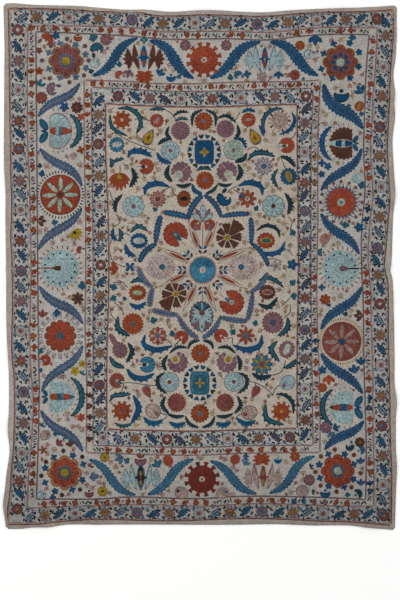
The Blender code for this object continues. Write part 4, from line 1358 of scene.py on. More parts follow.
# Fan flower above the middle: angle, length, half width and dye of each petal, in degrees and millimetres
fan, oval = at(202.8, 221.4), at(202, 312.4)
for angle, length, wide, dye in [(60, 66, 13, "mauve"), (120, 66, 13, "mauve"), (90, 76, 18.5, "paleBlue"),
                                 (38, 57, 18, "paleBlue"), (142, 57, 18, "paleBlue")]:
    petal("medallion", fan, length * mm, wide * mm, angle, "plum", "under", 0, 0.6, -0.35, 15)
    petal("medallion", fan, (length - 5) * mm, (wide - 2) * mm, angle, dye, "fill", 2 * mm, 0.6, -0.35, 15)
for side in (-1, 1):
    bow = curve([(202.8 + side, 221.2), (202.8 + side * 7, 221), (202.8 + side * 10.6, 224.4),
                 (202.8 + side * 9.6, 229)], 20)
    sewAlong("medallion", bow, 10 * mm * taper(20, 0.6), "madder", "fill")
    sewRound("medallion", at(202.8 + side * 6.4, 227), 14 * mm, "mauve", "under", lobes(8, 0.1), sides=24,
             tall=1.2)
    stamen = curve([(202.8 + side * 1.6, 222), (202.8 + side * 3.6, 226), (202.8 + side * 2.6, 230.6)], 12)
    sewAlong("medallion", stamen, 7 * mm * taper(12, 0.6), "madder", "fill")
# Oval flower below the middle: mauve scalloped rim, three broad petals with a dark seed, narrower ones,
# a teal cap and a core. Each petal: angle, length, half width, and 1 where it has the seed
sewRound("medallion", at(201.4, 316.4), 55 * mm, "plum", "line", lobes(20, 0.1), sides=80, tall=1.26)
sewRound("medallion", at(201.4, 316.4), 51 * mm, "mauve", "under", lobes(20, 0.1), sides=80, tall=1.26)
for angle, length, wide, seed in [(270, 84, 17, 1), (226, 62, 16, 1), (314, 62, 16, 1), (200, 46, 9, 0),
                                  (340, 46, 9, 0), (176, 46, 8, 0), (4, 46, 8, 0), (152, 46, 8, 0),
                                  (28, 46, 8, 0)]:
    petal("medallion", oval, length * mm, wide * mm, angle, "slateBlue", "fill", 6 * mm, 0.6, -0.3, 13)
    petal("medallion", oval, (length - 4) * mm, (wide - 2.2) * mm, angle, "paleBlue", "detail", 8 * mm, 0.6,
          -0.3, 13)
    if seed:
        petal("medallion", oval, 12 * mm, 3.4 * mm, angle, "ink", "centre", (length - 26) * mm)
for angle, wide, dye in [(140, 11, "darkTeal"), (40, 11, "darkTeal"), (110, 13, "teal"), (70, 13, "teal"),
                         (90, 8, "paleBlue")]:
    petal("medallion", oval, (34 if dye == "paleBlue" else 40) * mm, wide * mm, angle, dye, "detail",
          8 * mm, 0.6, -0.3)
dot("medallion", oval, 13.5 * mm, "brick", "centre")

# Stems from the middle round with leaf pairs: angle, start and end distance in millimetres
for angle, start, end, dye in [(90, 66, 208, "teal"), (270, 66, 150, "teal"), (180, 66, 128, "darkTeal"),
                               (0, 66, 120, "darkTeal"), (135, 66, 128, "darkTeal"),
                               (45, 66, 128, "darkTeal"), (225, 66, 128, "darkTeal"),
                               (315, 66, 128, "darkTeal")]:
    tick("medallion", turned(hub, start * mm, angle), turned(hub, end * mm, angle), 1.7 * mm, dye)
    for far, side in [(82, 1), (82, -1), (102, 1), (102, -1)]:
        spot = turned(turned(hub, far * mm, angle), 9 * mm, angle + 90 * side)
        leaflet("medallion", spot, 24 * mm, angle + 42 * side, 0.25 * side,
                "darkTeal" if far == 82 else "deepBlue", 0.26)
ring(hub, 77 * mm, 24,
     lambda p, a: dot("medallion", p, 3.4 * mm, "madder" if int(a / 15) % 2 else "rust"), 7)

# The two flower clusters: place and half height of the square flower in photo pixels, its blues, its rounds
clusters = [
    dict(piece="upperFlowers", x=204.3, y=152.2, high=12.4, blue=("deepBlue", "indigo"), rounds=[
        ("daisy", 203.6, 121.3, 42, 0, ("rust", "brick", "slateBlue"), 16),
        ("daisy", 180.5, 130.6, 43, 0, ("mauve", "mauve", "mauve"), 22),
        ("daisy", 225.4, 129, 41, 0, ("mauve", "mauve", "mauve"), 22),
        ("wheel", 170.4, 150.8, 43, 0, ("paleBlue", "slateBlue", "rust"), 14),
        ("wheel", 233.5, 150.3, 45, 0, ("paleGreen", "slateBlue", "mauve"), 14),
        ("daisy", 205, 180.4, 41, 0, ("rust", "madder", "slateBlue"), 16)]),
    dict(piece="lowerFlowers", x=199.8, y=383, high=12, blue=("teal", "sky"), rounds=[
        ("daisy", 200.5, 353.5, 43, 0, ("rust", "madder", "slateBlue"), 16),
        ("daisy", 176.8, 402.6, 43, 0, ("brick", "madder", "brick"), 20),
        ("daisy", 225, 402.6, 42, 0, ("brick", "brick", "brick"), 20),
        ("wheel", 169.4, 382, 45, 0, ("paleBlue", "ink", "madder"), 15),
        ("wheel", 233.8, 381.8, 45, 0, ("paleBlue", "ink", "brick"), 15),
        ("daisy", 199.9, 413.4, 42, 0, ("rust", "walnut", "slateBlue"), 16)]),
]


# Edge of a square with rounded corners and fine scallops: a superellipse, waved thirty times round
def squareEdge(angle):
    power = 4.5
    square = (np.abs(np.cos(angle)) ** power + np.abs(np.sin(angle)) ** power) ** (-1 / power)
    return square * (1 - 0.03 * np.cos(30 * angle))


for cluster in clusters:
    piece, c = cluster["piece"], at(cluster["x"], cluster["y"])
    dark, light = cluster["blue"]
    for size, dye, layer in [(1.0, dark, "under"), (0.9, light, "fill"), (0.72, dark, "detail"),
                             (0.5, light, "detail")]:
        sewRound(piece, c, 43 * mm * size, dye, layer, squareEdge, sides=100, tall=cluster["high"] / 9.9)
    for k in range(4):
        petal(piece, c, 24 * mm, 6.5 * mm, 90 * k, "weld", "centre", 0, 0.8)
        petal(piece, c, 13 * mm, 5 * mm, 45 + 90 * k, "ochre" if light == "indigo" else "indigo", "centre",
              4 * mm, 0.8)
    for k in range(16):
        angle = 11.25 + 22.5 * k
        p = turned(c, (62 + 6 * abs(np.sin(np.radians(angle)))) * mm, angle)
        for spread in (-1, 1):
            leaflet(piece, turned(p, 5 * mm, angle + 90 * spread), 25 * mm, angle + 42 * spread,
                    -0.25 * spread, "deepBlue" if k % 2 else "darkTeal", 0.28)
    sewRows(piece, cluster["rounds"])

# Mauve rounds with a notch and a pale core at one side: x, y, core x, y and dye, in photo pixels
for piece, x, y, cx, cy, core in [
        ("upperFlowers", 181.3, 172, 178.2, 175, "paleGreen"),
        ("upperFlowers", 226.9, 171.6, 228.6, 174.6, "paleGreen"),
        ("lowerFlowers", 177.8, 362.4, 175.5, 359.3, "weld"),
        ("lowerFlowers", 226.9, 362.4, 228.2, 359.3, "weld")]:
    c, coreAt = at(x, y), at(cx, cy)
    away = np.degrees(np.arctan2(*(c - coreAt)[::-1]))
    sewFan(piece, c, 3 * mm, 48 * mm, away - 152, away + 152, "mauve", "fill", lobes(13, 0.2), 60)
    for k, spread in enumerate([-98, -52, 0, 46, 95]):
        tick(piece, turned(coreAt, 18 * mm, away + spread), turned(c, 45 * mm, away + spread * 1.15),
             1.3 * mm, "plum" if k % 2 else "ivory", "detail")
    sewRound(piece, coreAt, 21 * mm, "ivory", "detail", lobes(9, 0.1), sides=36, turn=away)
    sewRound(piece, coreAt, 15 * mm, core, "centre", sides=18, tall=0.85, turn=away)

sewRows("upperFlowers", [
    ("cog", 122, 120, 42, 0, ("rust", "madder", "mist", "slateBlue"), 9),
    ("pomegranate", 156.8, 120.6, 32, 50, ("madder", "brick", "mauve", "rose", "teal"), 1.0),
    ("drop", 148.6, 137.6, 37, 62, ("weld", "plum", "rust")),
    ("pomegranate", 116.8, 144.6, 35, 12, ("sky", "indigo", "mist", "ivory", "rose"), 1.0),
    ("flame", 119.3, 180.5, 47, 270, ("rust", "madder", "weld"), 8, 54),
    ("carnation", 146, 166.5, 37, 182, ("madder", "brick", "ink"), 22),
    ("wheel", 133.5, 206.4, 50, 0, ("paleBlue", "slateBlue", "brick"), 11),
    ("bloom", 157.8, 199, 39, 0, ("brick", "walnut", "rose"), 12, 0.2),
    ("pomegranate", 184, 198.8, 32, 0, ("rust", "walnut", "walnut", "ink", "ink"), 1.2),
    ("pomegranate", 248.5, 119.8, 33, 180, ("madder", "rust", "brick", "rose", "ink"), 1.0),
    ("drop", 254.6, 137, 37, 118, ("weld", "plum", "rust")),
    ("cog", 279.5, 120.8, 50, 0, ("paleMauve", "walnut", "paleMauve", "madder"), 15),
    ("carnation", 286.8, 145.4, 37, 190, ("madder", "brick", "teal"), 24),
    ("bloom", 263.8, 166.4, 42, 0, ("slateBlue", "indigo", "paleMauve"), 11, 0.2),
    ("pomegranate", 288.8, 176.4, 39, 108, ("indigo", "teal", "weld", "ochre", "weld"), 1.0),
    ("paisley", 226, 198, 35, 130, ("deepBlue", "darkTeal"), 1),
    ("bloom", 247.5, 198.8, 42, 0, ("brick", "paleGreen", "madder"), 8, 0.22),
    ("wheel", 273.4, 206, 51, 0, ("paleBlue", "ink", "walnut"), 9),
    ("pomegranate", 139, 240.8, 40, 0, ("indigo", "deepBlue", "mist", "ivory", "ivory")),
    ("pomegranate", 266, 240.6, 41, 0, ("madder", "brick", "weld", "teal", "ink")),
    ("bloom", 130, 267, 26, 45, ("indigo", "teal", "indigo"), 4, 0.3),
    ("tulip", 113.4, 268.4, 25, 180, ("rust", "madder")),
    ("bloom", 276, 266, 27, 30, ("slateBlue", "mauve", "paleMauve"), 5, 0.26),
    ("star", 292.4, 264.6, 27, 0, ("indigo", "sky"), 5),
    ("bud", 241.6, 196, 14, 190, ("indigo", "slateBlue")),
    ("bud", 155.4, 209.4, 14, 150, tealLook),
    ("bud", 256.3, 208.6, 15, 60, tealLook), ("bud", 293, 232.8, 18, 120, tealLook),
    ("bud", 148, 218, 7, 0, tealLook),
])
sewRows("lowerFlowers", [
    ("pomegranate", 137.5, 292.8, 40, 0, ("rust", "madder", "ochre", "paleGreen", "weld")),
    ("pomegranate", 267.4, 292.2, 38, 0, ("walnut", "brick", "rose", "brick", "rose")),
    ("daisy", 132.8, 323.8, 49, 0, ("rust", "madder", "teal"), 20),
    ("pomegranate", 120, 350.2, 38, 120, ("mauve", "brick", "mauve", "mauve", "walnut")),
    ("bloom", 157.8, 335.8, 42, 0, ("brick", "slateBlue", "paleMauve", "madder"), 12, 0.24),
    ("carnation", 181.4, 337.6, 33, 236, ("madder", "brick", "madder"), 34),
    ("carnation", 221, 335.8, 33, 310, ("madder", "brick", "madder"), 34),
    ("bud", 153.4, 320.6, 19, 15, tealLook),
    ("carnation", 147.3, 364.6, 38, 180, ("sky", "indigo", "ink"), 18),
    ("carnation", 117, 380.6, 36, -30, ("brick", "rust", "teal"), 20),
    ("drop", 147.2, 391.6, 29, -62, ("brick", "mauve", "madder")),
    ("drop", 255.4, 391.6, 29, 242, ("brick", "mauve", "madder")),
    ("bead", 153, 411, 37, -35, ("paleMauve", "walnut", "ochre")),
    ("cog", 122, 411, 45, 0, ("rust", "brick", "teal", "teal"), 10),
    ("bloom", 245.8, 335.6, 42, 0, ("brick", "sky", "rust"), 8, 0.2),
    ("daisy", 272.8, 322.6, 49, 0, ("mauve", "brick", "indigo"), 20),
    ("bloom", 261.8, 364.4, 50, 0, ("indigo", "madder", "sky", "weld"), 12, 0.2),
    ("pomegranate", 286.8, 349.4, 40, 68, ("mauve", "brick", "paleGreen", "ivory", "ivory")),
    ("bead", 249.4, 412.8, 37, 200, ("paleMauve", "walnut", "rust")),
    ("bead", 287.6, 382.6, 37, 220, ("paleBlue", "slateBlue", "madder")),
    ("cog", 281.4, 411.6, 45, 0, ("rust", "madder", "weld", "paleGreen"), 10),
    ("bud", 255.4, 323.4, 16, 80, tealLook), ("bud", 172.4, 334, 17, 110, tealLook),
    ("bud", 233, 332.4, 17, 60, ("teal", "indigo")), ("bud", 113.8, 287, 20, 160, tealLook),
    ("bud", 113.6, 298, 18, 210, tealLook), ("bud", 292.6, 283, 18, 50, tealLook),
    ("bud", 293.6, 296, 18, 280, tealLook), ("bud", 124.5, 298.5, 12, 260, ("indigo", "teal")),
])
petal("lowerFlowers", at(119.5, 350), 78 * mm, 13 * mm, 121, "mauve", "fill", 8 * mm, 0.35)

# Bent toothed leaves of the field: half width in millimetres before leafGrow, teeth and their side, look,
# then photo places
leafGrow = 1.3
vineLeaves = dict(
    upperVines=[
        (10, 4, 1, tealLook, [(117, 108.4), (129, 108.6), (139.4, 117), (140.4, 127), (135.6, 134)]),
        (8, 4, -1, tealLook, [(109.8, 114), (111.6, 126), (128, 136.6)]),
        (7, 3, -1, tealLook, [(149, 110), (157, 108.6), (166, 109.5)]),
        (6, 5, 1, darkLook, [(172.5, 116.6), (180, 112), (189, 112.4)]),
        (6, 5, 1, tealLook, [(174.6, 121.6), (181, 118.6), (188.6, 119.8)]),
        (6.5, 7, 1, darkLook, [(192, 127), (193.6, 115), (203.6, 109.3)]),
        (6.5, 7, -1, darkLook, [(215.6, 127), (214.6, 115), (204.4, 109.3)]),
        (7, 6, 1, darkLook, [(216.6, 118.6), (226, 115.8), (236.6, 123)]),
        (7, 5, 1, darkLook, [(168.8, 126), (166.6, 134), (172, 141)]),
        (7, 5, -1, darkLook, [(237, 124), (239, 133), (234, 140.4)]),
        (7, 4, 1, blueLook, [(241, 113), (248.4, 109.8), (256, 112.2)]),
        (7.5, 6, 1, darkLook, [(157.6, 145), (164, 140.5), (170, 139.6)]),
        (9, 7, -1, blueLook, [(156.5, 152), (161, 159), (172, 163)]),
        (7.5, 6, 1, blueLook, [(233, 138.6), (241.6, 140), (246.3, 149)]),
        (9, 6, -1, darkLook, [(247, 152.6), (244, 158.6), (234.6, 162.6)]),
        (9, 8, -1, darkLook, [(169.4, 164.6), (167, 174), (172.6, 182)]),
        (7, 8, -1, darkLook, [(175.6, 184.6), (183.6, 186), (191.6, 183)]),
        (9, 8, 1, darkLook, [(237.8, 163.6), (240.6, 172.6), (236, 180.6)]),
        (6, 8, 1, darkLook, [(232.6, 183.4), (225.6, 185.4), (217.4, 183)]),
        (8, 8, -1, blueLook, [(192, 183.6), (194.6, 190), (202.6, 193.6)]),
        (6, 8, 1, darkLook, [(218, 184), (213, 190), (205, 193.6)]),
        (6, 3, 1, tealLook, [(196, 170.6), (204.5, 168), (212, 170.6)]),
        (12, 4, -1, blueLook, [(169.8, 186.6), (155, 183.8), (146, 188), (144.6, 195.6)]),
        (12, 4, 1, blueLook, [(237.6, 186), (250, 182.6), (261, 187), (262.6, 196)]),
        (12, 5, 1, blueLook, [(127.6, 158.4), (130.4, 152.8), (140, 151.2), (152.4, 157)]),
        (9, 5, 1, tealLook, [(265.4, 134), (262.8, 124), (266.4, 114.4), (274.4, 109.4), (283.6, 108.8)]),
        (6, 4, -1, blueLook, [(258.6, 124.6), (261.4, 129), (264.4, 136.6)]),
        (8, 6, 1, blueLook, [(291.6, 111.6), (294.6, 119.6), (291, 128.4), (279, 135)]),
        (10.5, 5, 1, tealLook, [(247.6, 161), (253, 154.6), (264, 152.8), (275.6, 157)]),
        (9, 6, 1, darkLook, [(279.6, 156), (288, 159), (295.6, 167.5)]),
        (8, 5, -1, tealLook, [(278, 168.4), (273.4, 177.4), (278, 188)]),
        (10, 6, 1, darkLook, [(131.6, 167), (134.6, 177), (129.4, 187.6)]),
        (9, 6, -1, darkLook, [(122.3, 194.3), (115.4, 204), (116, 213)]),
        (10, 6, 1, darkLook, [(285, 192.6), (290.4, 204), (287.6, 215)]),
        (9, 4, 1, tealLook, [(130, 233), (138, 226.3), (148, 231)]),
        (10, 4, -1, blueLook, [(125, 243.6), (128, 252), (136, 256.6)]),
        (8, 4, 1, darkLook, [(255.6, 231), (266, 225.6), (277, 229.4), (280.4, 238)]),
        (10, 4, -1, blueLook, [(257.6, 250.6), (268, 254), (280, 251), (285.4, 241)]),
        (7, 3, 1, tealLook, [(109.6, 164), (116, 160.6), (124.6, 158.6)]),
        (8, 3, -1, tealLook, [(109.8, 158), (112.4, 163), (111, 168)]),
        (8, 4, -1, blueLook, [(113.4, 227.6), (113, 236), (117.6, 241)]),
        (8, 4, 1, tealLook, [(119, 228), (121, 236), (118, 242)]),
    ],
    lowerVines=[
        (9, 4, 1, tealLook, [(130, 283), (138, 279.8), (147, 283.4)]),
        (10, 5, -1, blueLook, [(129, 303.4), (138, 307), (146.4, 302)]),
        (10, 5, -1, darkLook, [(257.6, 303.6), (268, 307), (278, 297)]),
        (9, 4, 1, tealLook, [(258, 281), (266, 277.6), (277, 281.6), (284, 288)]),
        (11, 6, -1, tealLook, [(118, 316), (118, 327.6), (130, 336.4)]),
        (11, 6, 1, tealLook, [(287.6, 317), (287.6, 327), (277.6, 336.4)]),
        (10, 5, 1, darkLook, [(127.6, 342), (132, 351), (126, 363)]),
        (10, 5, 1, tealLook, [(109.4, 356), (114, 363.6), (125, 368.4)]),
        (12, 5, -1, blueLook, [(145.4, 334), (143.6, 343.6), (153, 349.4), (173, 346)]),
        (12, 5, 1, blueLook, [(262, 334), (260, 345), (247, 349.6), (232, 345)]),
        (6.5, 7, 1, darkLook, [(188, 349.6), (190.6, 343.6), (200.4, 340.4)]),
        (6.5, 7, -1, darkLook, [(213.4, 349.6), (211, 343.6), (202.4, 340.4)]),
        (6.5, 7, 1, darkLook, [(169, 353.6), (177.6, 347.4), (188, 348)]),
        (6.5, 7, -1, darkLook, [(236, 353.6), (227.4, 347.4), (217, 348)]),
        (8, 7, -1, darkLook, [(168, 354.6), (163.6, 364), (166.6, 371)]),
        (8, 7, 1, darkLook, [(236.6, 354.6), (240, 363), (238.6, 371)]),
        (8, 7, -1, darkLook, [(165, 372), (157.6, 379), (158.6, 386), (167.6, 394)]),
        (8, 7, 1, darkLook, [(238, 372), (246.6, 378), (246, 386), (237, 394)]),
        (8, 8, -1, darkLook, [(165.6, 395.6), (162.6, 405), (169, 413.6)]),
        (8, 8, 1, darkLook, [(237, 395.6), (240.6, 405), (234, 413.6)]),
        (7, 7, -1, darkLook, [(166.6, 413.4), (175, 416.4), (184.6, 415.6)]),
        (7, 7, 1, darkLook, [(233.6, 413.4), (225, 416.4), (216, 415.6)]),
        (7, 7, -1, darkLook, [(185, 415.6), (189.6, 423.6), (199.4, 427.6)]),
        (7, 7, 1, darkLook, [(215, 415.6), (211, 423.6), (201.6, 427.6)]),
        (11, 5, -1, deepLook, [(143, 416.6), (149.6, 422.6), (156.6, 423), (163.6, 419.4)]),
        (10.5, 5, -1, deepLook, [(168.6, 421.8), (177, 425.4), (186, 422.4)]),
        (10.5, 5, 1, deepLook, [(231.6, 421.8), (223, 425), (215.6, 422.4)]),
        (11, 5, -1, deepLook, [(235.6, 417.8), (246, 423.6), (256.4, 420.4)]),
        (11.5, 5, -1, blueLook, [(127.4, 368.6), (131.6, 375), (142, 378.6), (155, 373.4)]),
        (10, 6, -1, darkLook, [(251.6, 373), (260, 377.4), (272, 375)]),
        (9.5, 5, 1, tealLook, [(109.8, 401.6), (113, 396.4), (121, 395), (131.4, 394)]),
        (12, 7, 1, blueLook, [(133, 394.6), (138.4, 408), (131, 424)]),
        (7, 5, -1, tealLook, [(114, 422.6), (122, 426), (132.6, 423.4)]),
        (11, 5, -1, tealLook, [(277.6, 340.6), (271.4, 348.6), (279.6, 362)]),
        (10, 5, -1, tealLook, [(283.4, 368), (290, 365.6), (296.4, 359)]),
        (8.5, 6, 1, darkLook, [(275.4, 394), (285, 395.2), (292, 401.6), (293.6, 414.6)]),
        (11, 6, -1, tealLook, [(265.4, 403), (266.6, 418), (284.4, 425)]),
    ],
)
for piece, rows in vineLeaves.items():
    for wide, count, side, look, path in rows:
        crescent(piece, path, wide * leafGrow, look, count, side)

# Thin stems of the field, each through photo places
vineStems = dict(
    upperVines=[[(110, 140), (113, 133), (125, 139), (148, 148), (157, 151)],
                [(134, 120), (141, 118), (150, 121)], [(139, 123), (137, 135), (143, 141)],
                [(172, 186), (165, 190), (160.5, 196)], [(171.6, 186), (173.4, 193), (179, 198)],
                [(233, 189), (239, 193), (245, 196)], [(237, 186), (231, 189), (227, 193)],
                [(247, 150), (254, 147), (262, 152)], [(297, 130), (292, 138), (285, 139), (278, 145)],
                [(109, 190), (112, 198), (116, 208)], [(116, 214), (120, 222), (112, 228)],
                [(288, 216), (292, 222), (290, 230)], [(108.5, 250), (112, 240), (124, 233), (131, 236)],
                [(279, 252), (288, 250), (293, 256)], [(120, 165), (120, 172), (119.6, 176)],
                [(281, 157), (284, 165), (287, 171)], [(110, 253), (112, 260), (122, 266), (140, 267)],
                [(282, 262), (275, 259), (268, 259)], [(240, 112), (236, 119), (230, 121)],
                [(166, 110), (172, 114), (176, 120)]],
    lowerVines=[[(160, 386), (148, 385), (120, 384), (108, 392)],
                [(247, 381), (256, 383), (268, 390), (274, 396)], [(172.6, 347), (170, 342), (164, 338)],
                [(174, 346), (178, 342), (180, 340)], [(232, 345), (232, 338), (226, 339)],
                [(236, 346), (240, 342), (243, 338)], [(126, 368), (130, 377), (137, 382)],
                [(113, 283), (122, 282), (128, 288)], [(114, 302), (122, 310), (124, 316)],
                [(281, 307), (288, 300), (296, 292)], [(290, 304), (290, 312), (284, 318)],
                [(268, 376), (281, 372), (286, 360)], [(272, 396), (276, 388), (282, 384)],
                [(150, 386), (148, 388), (147, 390)], [(255, 383), (256, 386), (256, 388)],
                [(163, 420), (167, 416), (160, 413)], [(235, 419), (239, 415), (244, 413)],
                [(109, 400), (112, 404), (116, 408)], [(124, 384), (122, 392), (124, 398)],
                [(110, 306), (112, 316), (118, 322)]],
)
for piece, paths in vineStems.items():
    for path in paths:
        stem(piece, curve(path, 16), stemWide, "darkTeal")

# Curls of the field by dye: photo places
fieldCurls = [
    ("brick", [(109, 136), (111, 203), (119.6, 219), (125, 219.6), (110, 186), (116, 249), (121, 258),
               (123.6, 276.4), (119, 283), (112, 309), (121, 308.6), (110, 321), (111, 329), (111, 371),
               (150, 311.6), (147.6, 318), (170.4, 326), (136, 349), (151, 354), (158, 364), (159, 368),
               (137, 391), (139, 395), (246, 427.6), (232, 418), (228, 421), (256.6, 311), (262, 311),
               (247, 361), (246.6, 369), (250, 353), (259, 353)]),
    ("ochre", [(142, 112), (145, 118), (160, 131.6), (137, 137.4), (140, 140), (216, 112), (229, 113),
               (261, 112), (267, 108), (245, 130), (156, 164), (158, 170), (154, 178), (137, 177),
               (138, 189), (163, 190.6), (174, 190), (172, 195), (140, 198), (245, 165), (248, 161),
               (254, 175), (260.6, 177), (267, 185), (227, 208), (234, 207), (143, 216), (146, 222),
               (257, 222), (260, 216), (253, 249), (294, 189), (295, 200), (293, 208), (279, 220.6),
               (284, 224), (162, 212.6), (150, 250), (250, 214), (273, 283), (283, 302), (278, 306),
               (285, 311), (293, 314), (294, 326), (272, 341), (273, 364), (288, 357), (284, 407),
               (138, 349), (264, 407), (245, 402), (252, 399), (136, 425), (139, 419), (268, 419)]),
]
for dye, spots in fieldCurls:
    for k, spot in enumerate(spots):
        curl("fieldCurls", at(*spot), (9.5 + 1.5 * (k % 3)) * mm, 63 * k, dye, 1 if k % 2 else -1)
        if k % 3 != 1:
            stem("fieldCurls", arc(turned(at(*spot), 15 * mm, 40 * k), 12 * mm, 40 * k + 80, 40 * k + 190,
                                   9), curlWide, dye)


# More curls wherever the ground is still bare: on a shaken grid, as large as the nearest stitch lets them be
def fillBare(piece, low, high, step, keep, dyeTurns):
    stitched = np.concatenate([patch[0] for patches in sewn.values() for patch in patches])
    cell, reach = 2 * mm, 12
    corner = np.array([cloth["width"], cloth["length"]]) / 2 + reach * cell
    taken = np.zeros(np.ceil(2 * corner / cell).astype(int) + 1, bool)
    taken[tuple(((stitched + corner) / cell).astype(int).T)] = True
    around = np.arange(-reach, reach + 1) * cell
    away = np.hypot(around[:, None], around)
    x, y = np.meshgrid(np.arange(low[0], high[0], step), np.arange(low[1], high[1], step))
    rows = np.arange(y.size)
    spots = np.stack([x.ravel() + 0.4 * step * np.sin(7.3 * rows),
                      y.ravel() + 0.4 * step * np.cos(5.1 * rows)], -1)
    spots = at(*spots[keep(*spots.T)].T)
    for k, spot in enumerate(spots):
        i, j = ((spot + corner) / cell).astype(int)
        window = taken[i - reach:i + reach + 1, j - reach:j + reach + 1]
        clear = away[window].min() if window.any() else reach * cell
        if clear > 8.5 * mm:
            size = min(clear - 2.5 * mm, 11.5 * mm)
            dye = dyeTurns[k % len(dyeTurns)]
            curl(piece, spot, size, 71 * k, dye, 1 if k % 2 else -1)
            stem(piece, arc(turned(spot, size * 1.5, 50 * k), size * 1.1, 50 * k + 80, 50 * k + 190, 8),
                 curlWide, dye)
            window |= away < size * 1.2


fillBare("fieldCurls", (110, 108), (296, 428), 7.0, lambda x, y: x > 0, ("brick", "ochre", "walnut", "ochre"))
fillBare("borderCurls", (40, 37), (364, 497), 7.0,
         lambda x, y: (x < 81) | (x > 323) | (y < 78) | (y > 458), ("rust", "ochre", "brick"))


print("suzani: making the cloth and its stitching")


# Points of a grid as one array, and its quads, faces up
def smoothGrid(x, y, z):
    rows, columns = x.shape
    i = np.arange(rows - 1)[:, None] * columns + np.arange(columns - 1)
    quads = np.stack([i, i + 1, i + columns + 1, i + columns], -1).reshape(-1, 4)
    return np.stack([x, y, z], -1).reshape(-1, 3), quads


# Puts whole arrays of points and faces into a new mesh object at the origin
def makeMesh(name, xyz, quads, tris=()):
    tris = np.asarray(tris, int).reshape(-1, 3)
    mesh = bpy.data.meshes.new(name)
    mesh.vertices.add(len(xyz))
    mesh.vertices.foreach_set("co", xyz.astype(np.float32).ravel())
    corners = np.concatenate([quads.ravel(), tris.ravel()])
    mesh.loops.add(len(corners))
    mesh.loops.foreach_set("vertex_index", corners.astype(np.int32))
    sizes = np.concatenate([np.full(len(quads), 4), np.full(len(tris), 3)])
    mesh.polygons.add(len(sizes))
    mesh.polygons.foreach_set("loop_start", np.append(0, np.cumsum(sizes)[:-1]).astype(np.int32))
    mesh.polygons.foreach_set("loop_total", sizes.astype(np.int32))
    mesh.polygons.foreach_set("use_smooth", np.ones(len(sizes), bool))
    mesh.update(calc_edges=True)
    mesh.validate()
    thing = bpy.data.objects.new(name, mesh)
    bpy.context.scene.collection.objects.link(thing)
    return thing


# Adds a shader node: settings are its own options, inputs its values, and links join its sockets
def addNode(tree, kind, settings=None, links=None, **inputs):
    node = tree.nodes.new(kind)
    for key, value in (settings or {}).items():
        setattr(node, key, value)
    for key, value in inputs.items():
        node.inputs[key].default_value = value
    for key, socket in (links or {}).items():
        tree.links.new(socket, node.inputs[key])
    return node


# New material with its node tree and its main shader
def newMaterial(name):
    material = bpy.data.materials.new(name)
    material.use_nodes = True
    return material, material.node_tree, material.node_tree.nodes["Principled BSDF"]


# Hex colour to linear red, green and blue at full alpha
def rgba(code):
    return (*linear(code), 1.0)


# Hand-woven cotton ground in plain weave, browner in the field and greyer towards the edges.
# Real threads are 0.5 mm apart; these are drawn coarser so that they show
cotton = dict(field="#A3998D", border="#9D9891", bands="#96928D", margin="#948A80", stainSize=0.05,
              slubSize=0.008, thread=2.6 * mm, bump=0.25)
# Zones of the ground: half width and half length, and how far their edges fade, in metres
zones = [("bands", 0.836, 1.116), ("border", 0.706, 1.022), ("field", 0.422, 0.708)]
zoneFade = 0.03
# Painted shade, where the light falls off: how much less light the lower end, between two places, and the
# right side give back
paintedShade = dict(start=-0.62, end=-1.12, low=0.2, right=0.05)
# A wave texture of scale 1 repeats after this many metres, and thread ridges are this high
wavePitch, ridgeHigh = 0.314, 0.4 * mm


# Smooth step from 0 to 1: 3 t squared less 2 t cubed
def eased(value):
    value = np.clip(value, 0, 1)
    return value * value * (3 - 2 * value)


# Painted shade, where the light falls off: the share of light the cloth gives back, less along its lower end
# and towards its right side
def paintedShadeShare(x, y):
    lower = paintedShade["low"] * eased((y - paintedShade["start"]) / (paintedShade["end"] - paintedShade["start"]))
    return (1 - lower) * (1 - paintedShade["right"] * eased(x / cloth["width"] + 0.5))


# Ground colour by place: each zone's tone fades in over its edge, then the painted shade darkens it towards
# the lower end and right side
def groundTone(x, y):
    tone = np.broadcast_to(linear(cotton["margin"]), (len(x), 3))
    for name, halfWide, halfLong in zones:
        share = eased(np.minimum(halfWide - np.abs(x), halfLong - np.abs(y)) / zoneFade + 0.5)[:, None]
        tone = tone * (1 - share) + linear(cotton[name]) * share
    return np.column_stack([tone * paintedShadeShare(x, y)[:, None], np.ones(len(x))])


# Noise of a scale in metres, turned into a factor between two bounds
def noiseFactor(tree, place, size, low, high, detail=3.0):
    noise = addNode(tree, "ShaderNodeTexNoise", None, {"Vector": place}, Scale=1 / size, Detail=detail)
    ramp = addNode(tree, "ShaderNodeMapRange", None, {"Value": noise.outputs["Fac"]})
    for key, value in {"From Min": 0.3, "From Max": 0.7, "To Min": low, "To Max": high}.items():
        ramp.inputs[key].default_value = value
    return ramp.outputs["Result"]
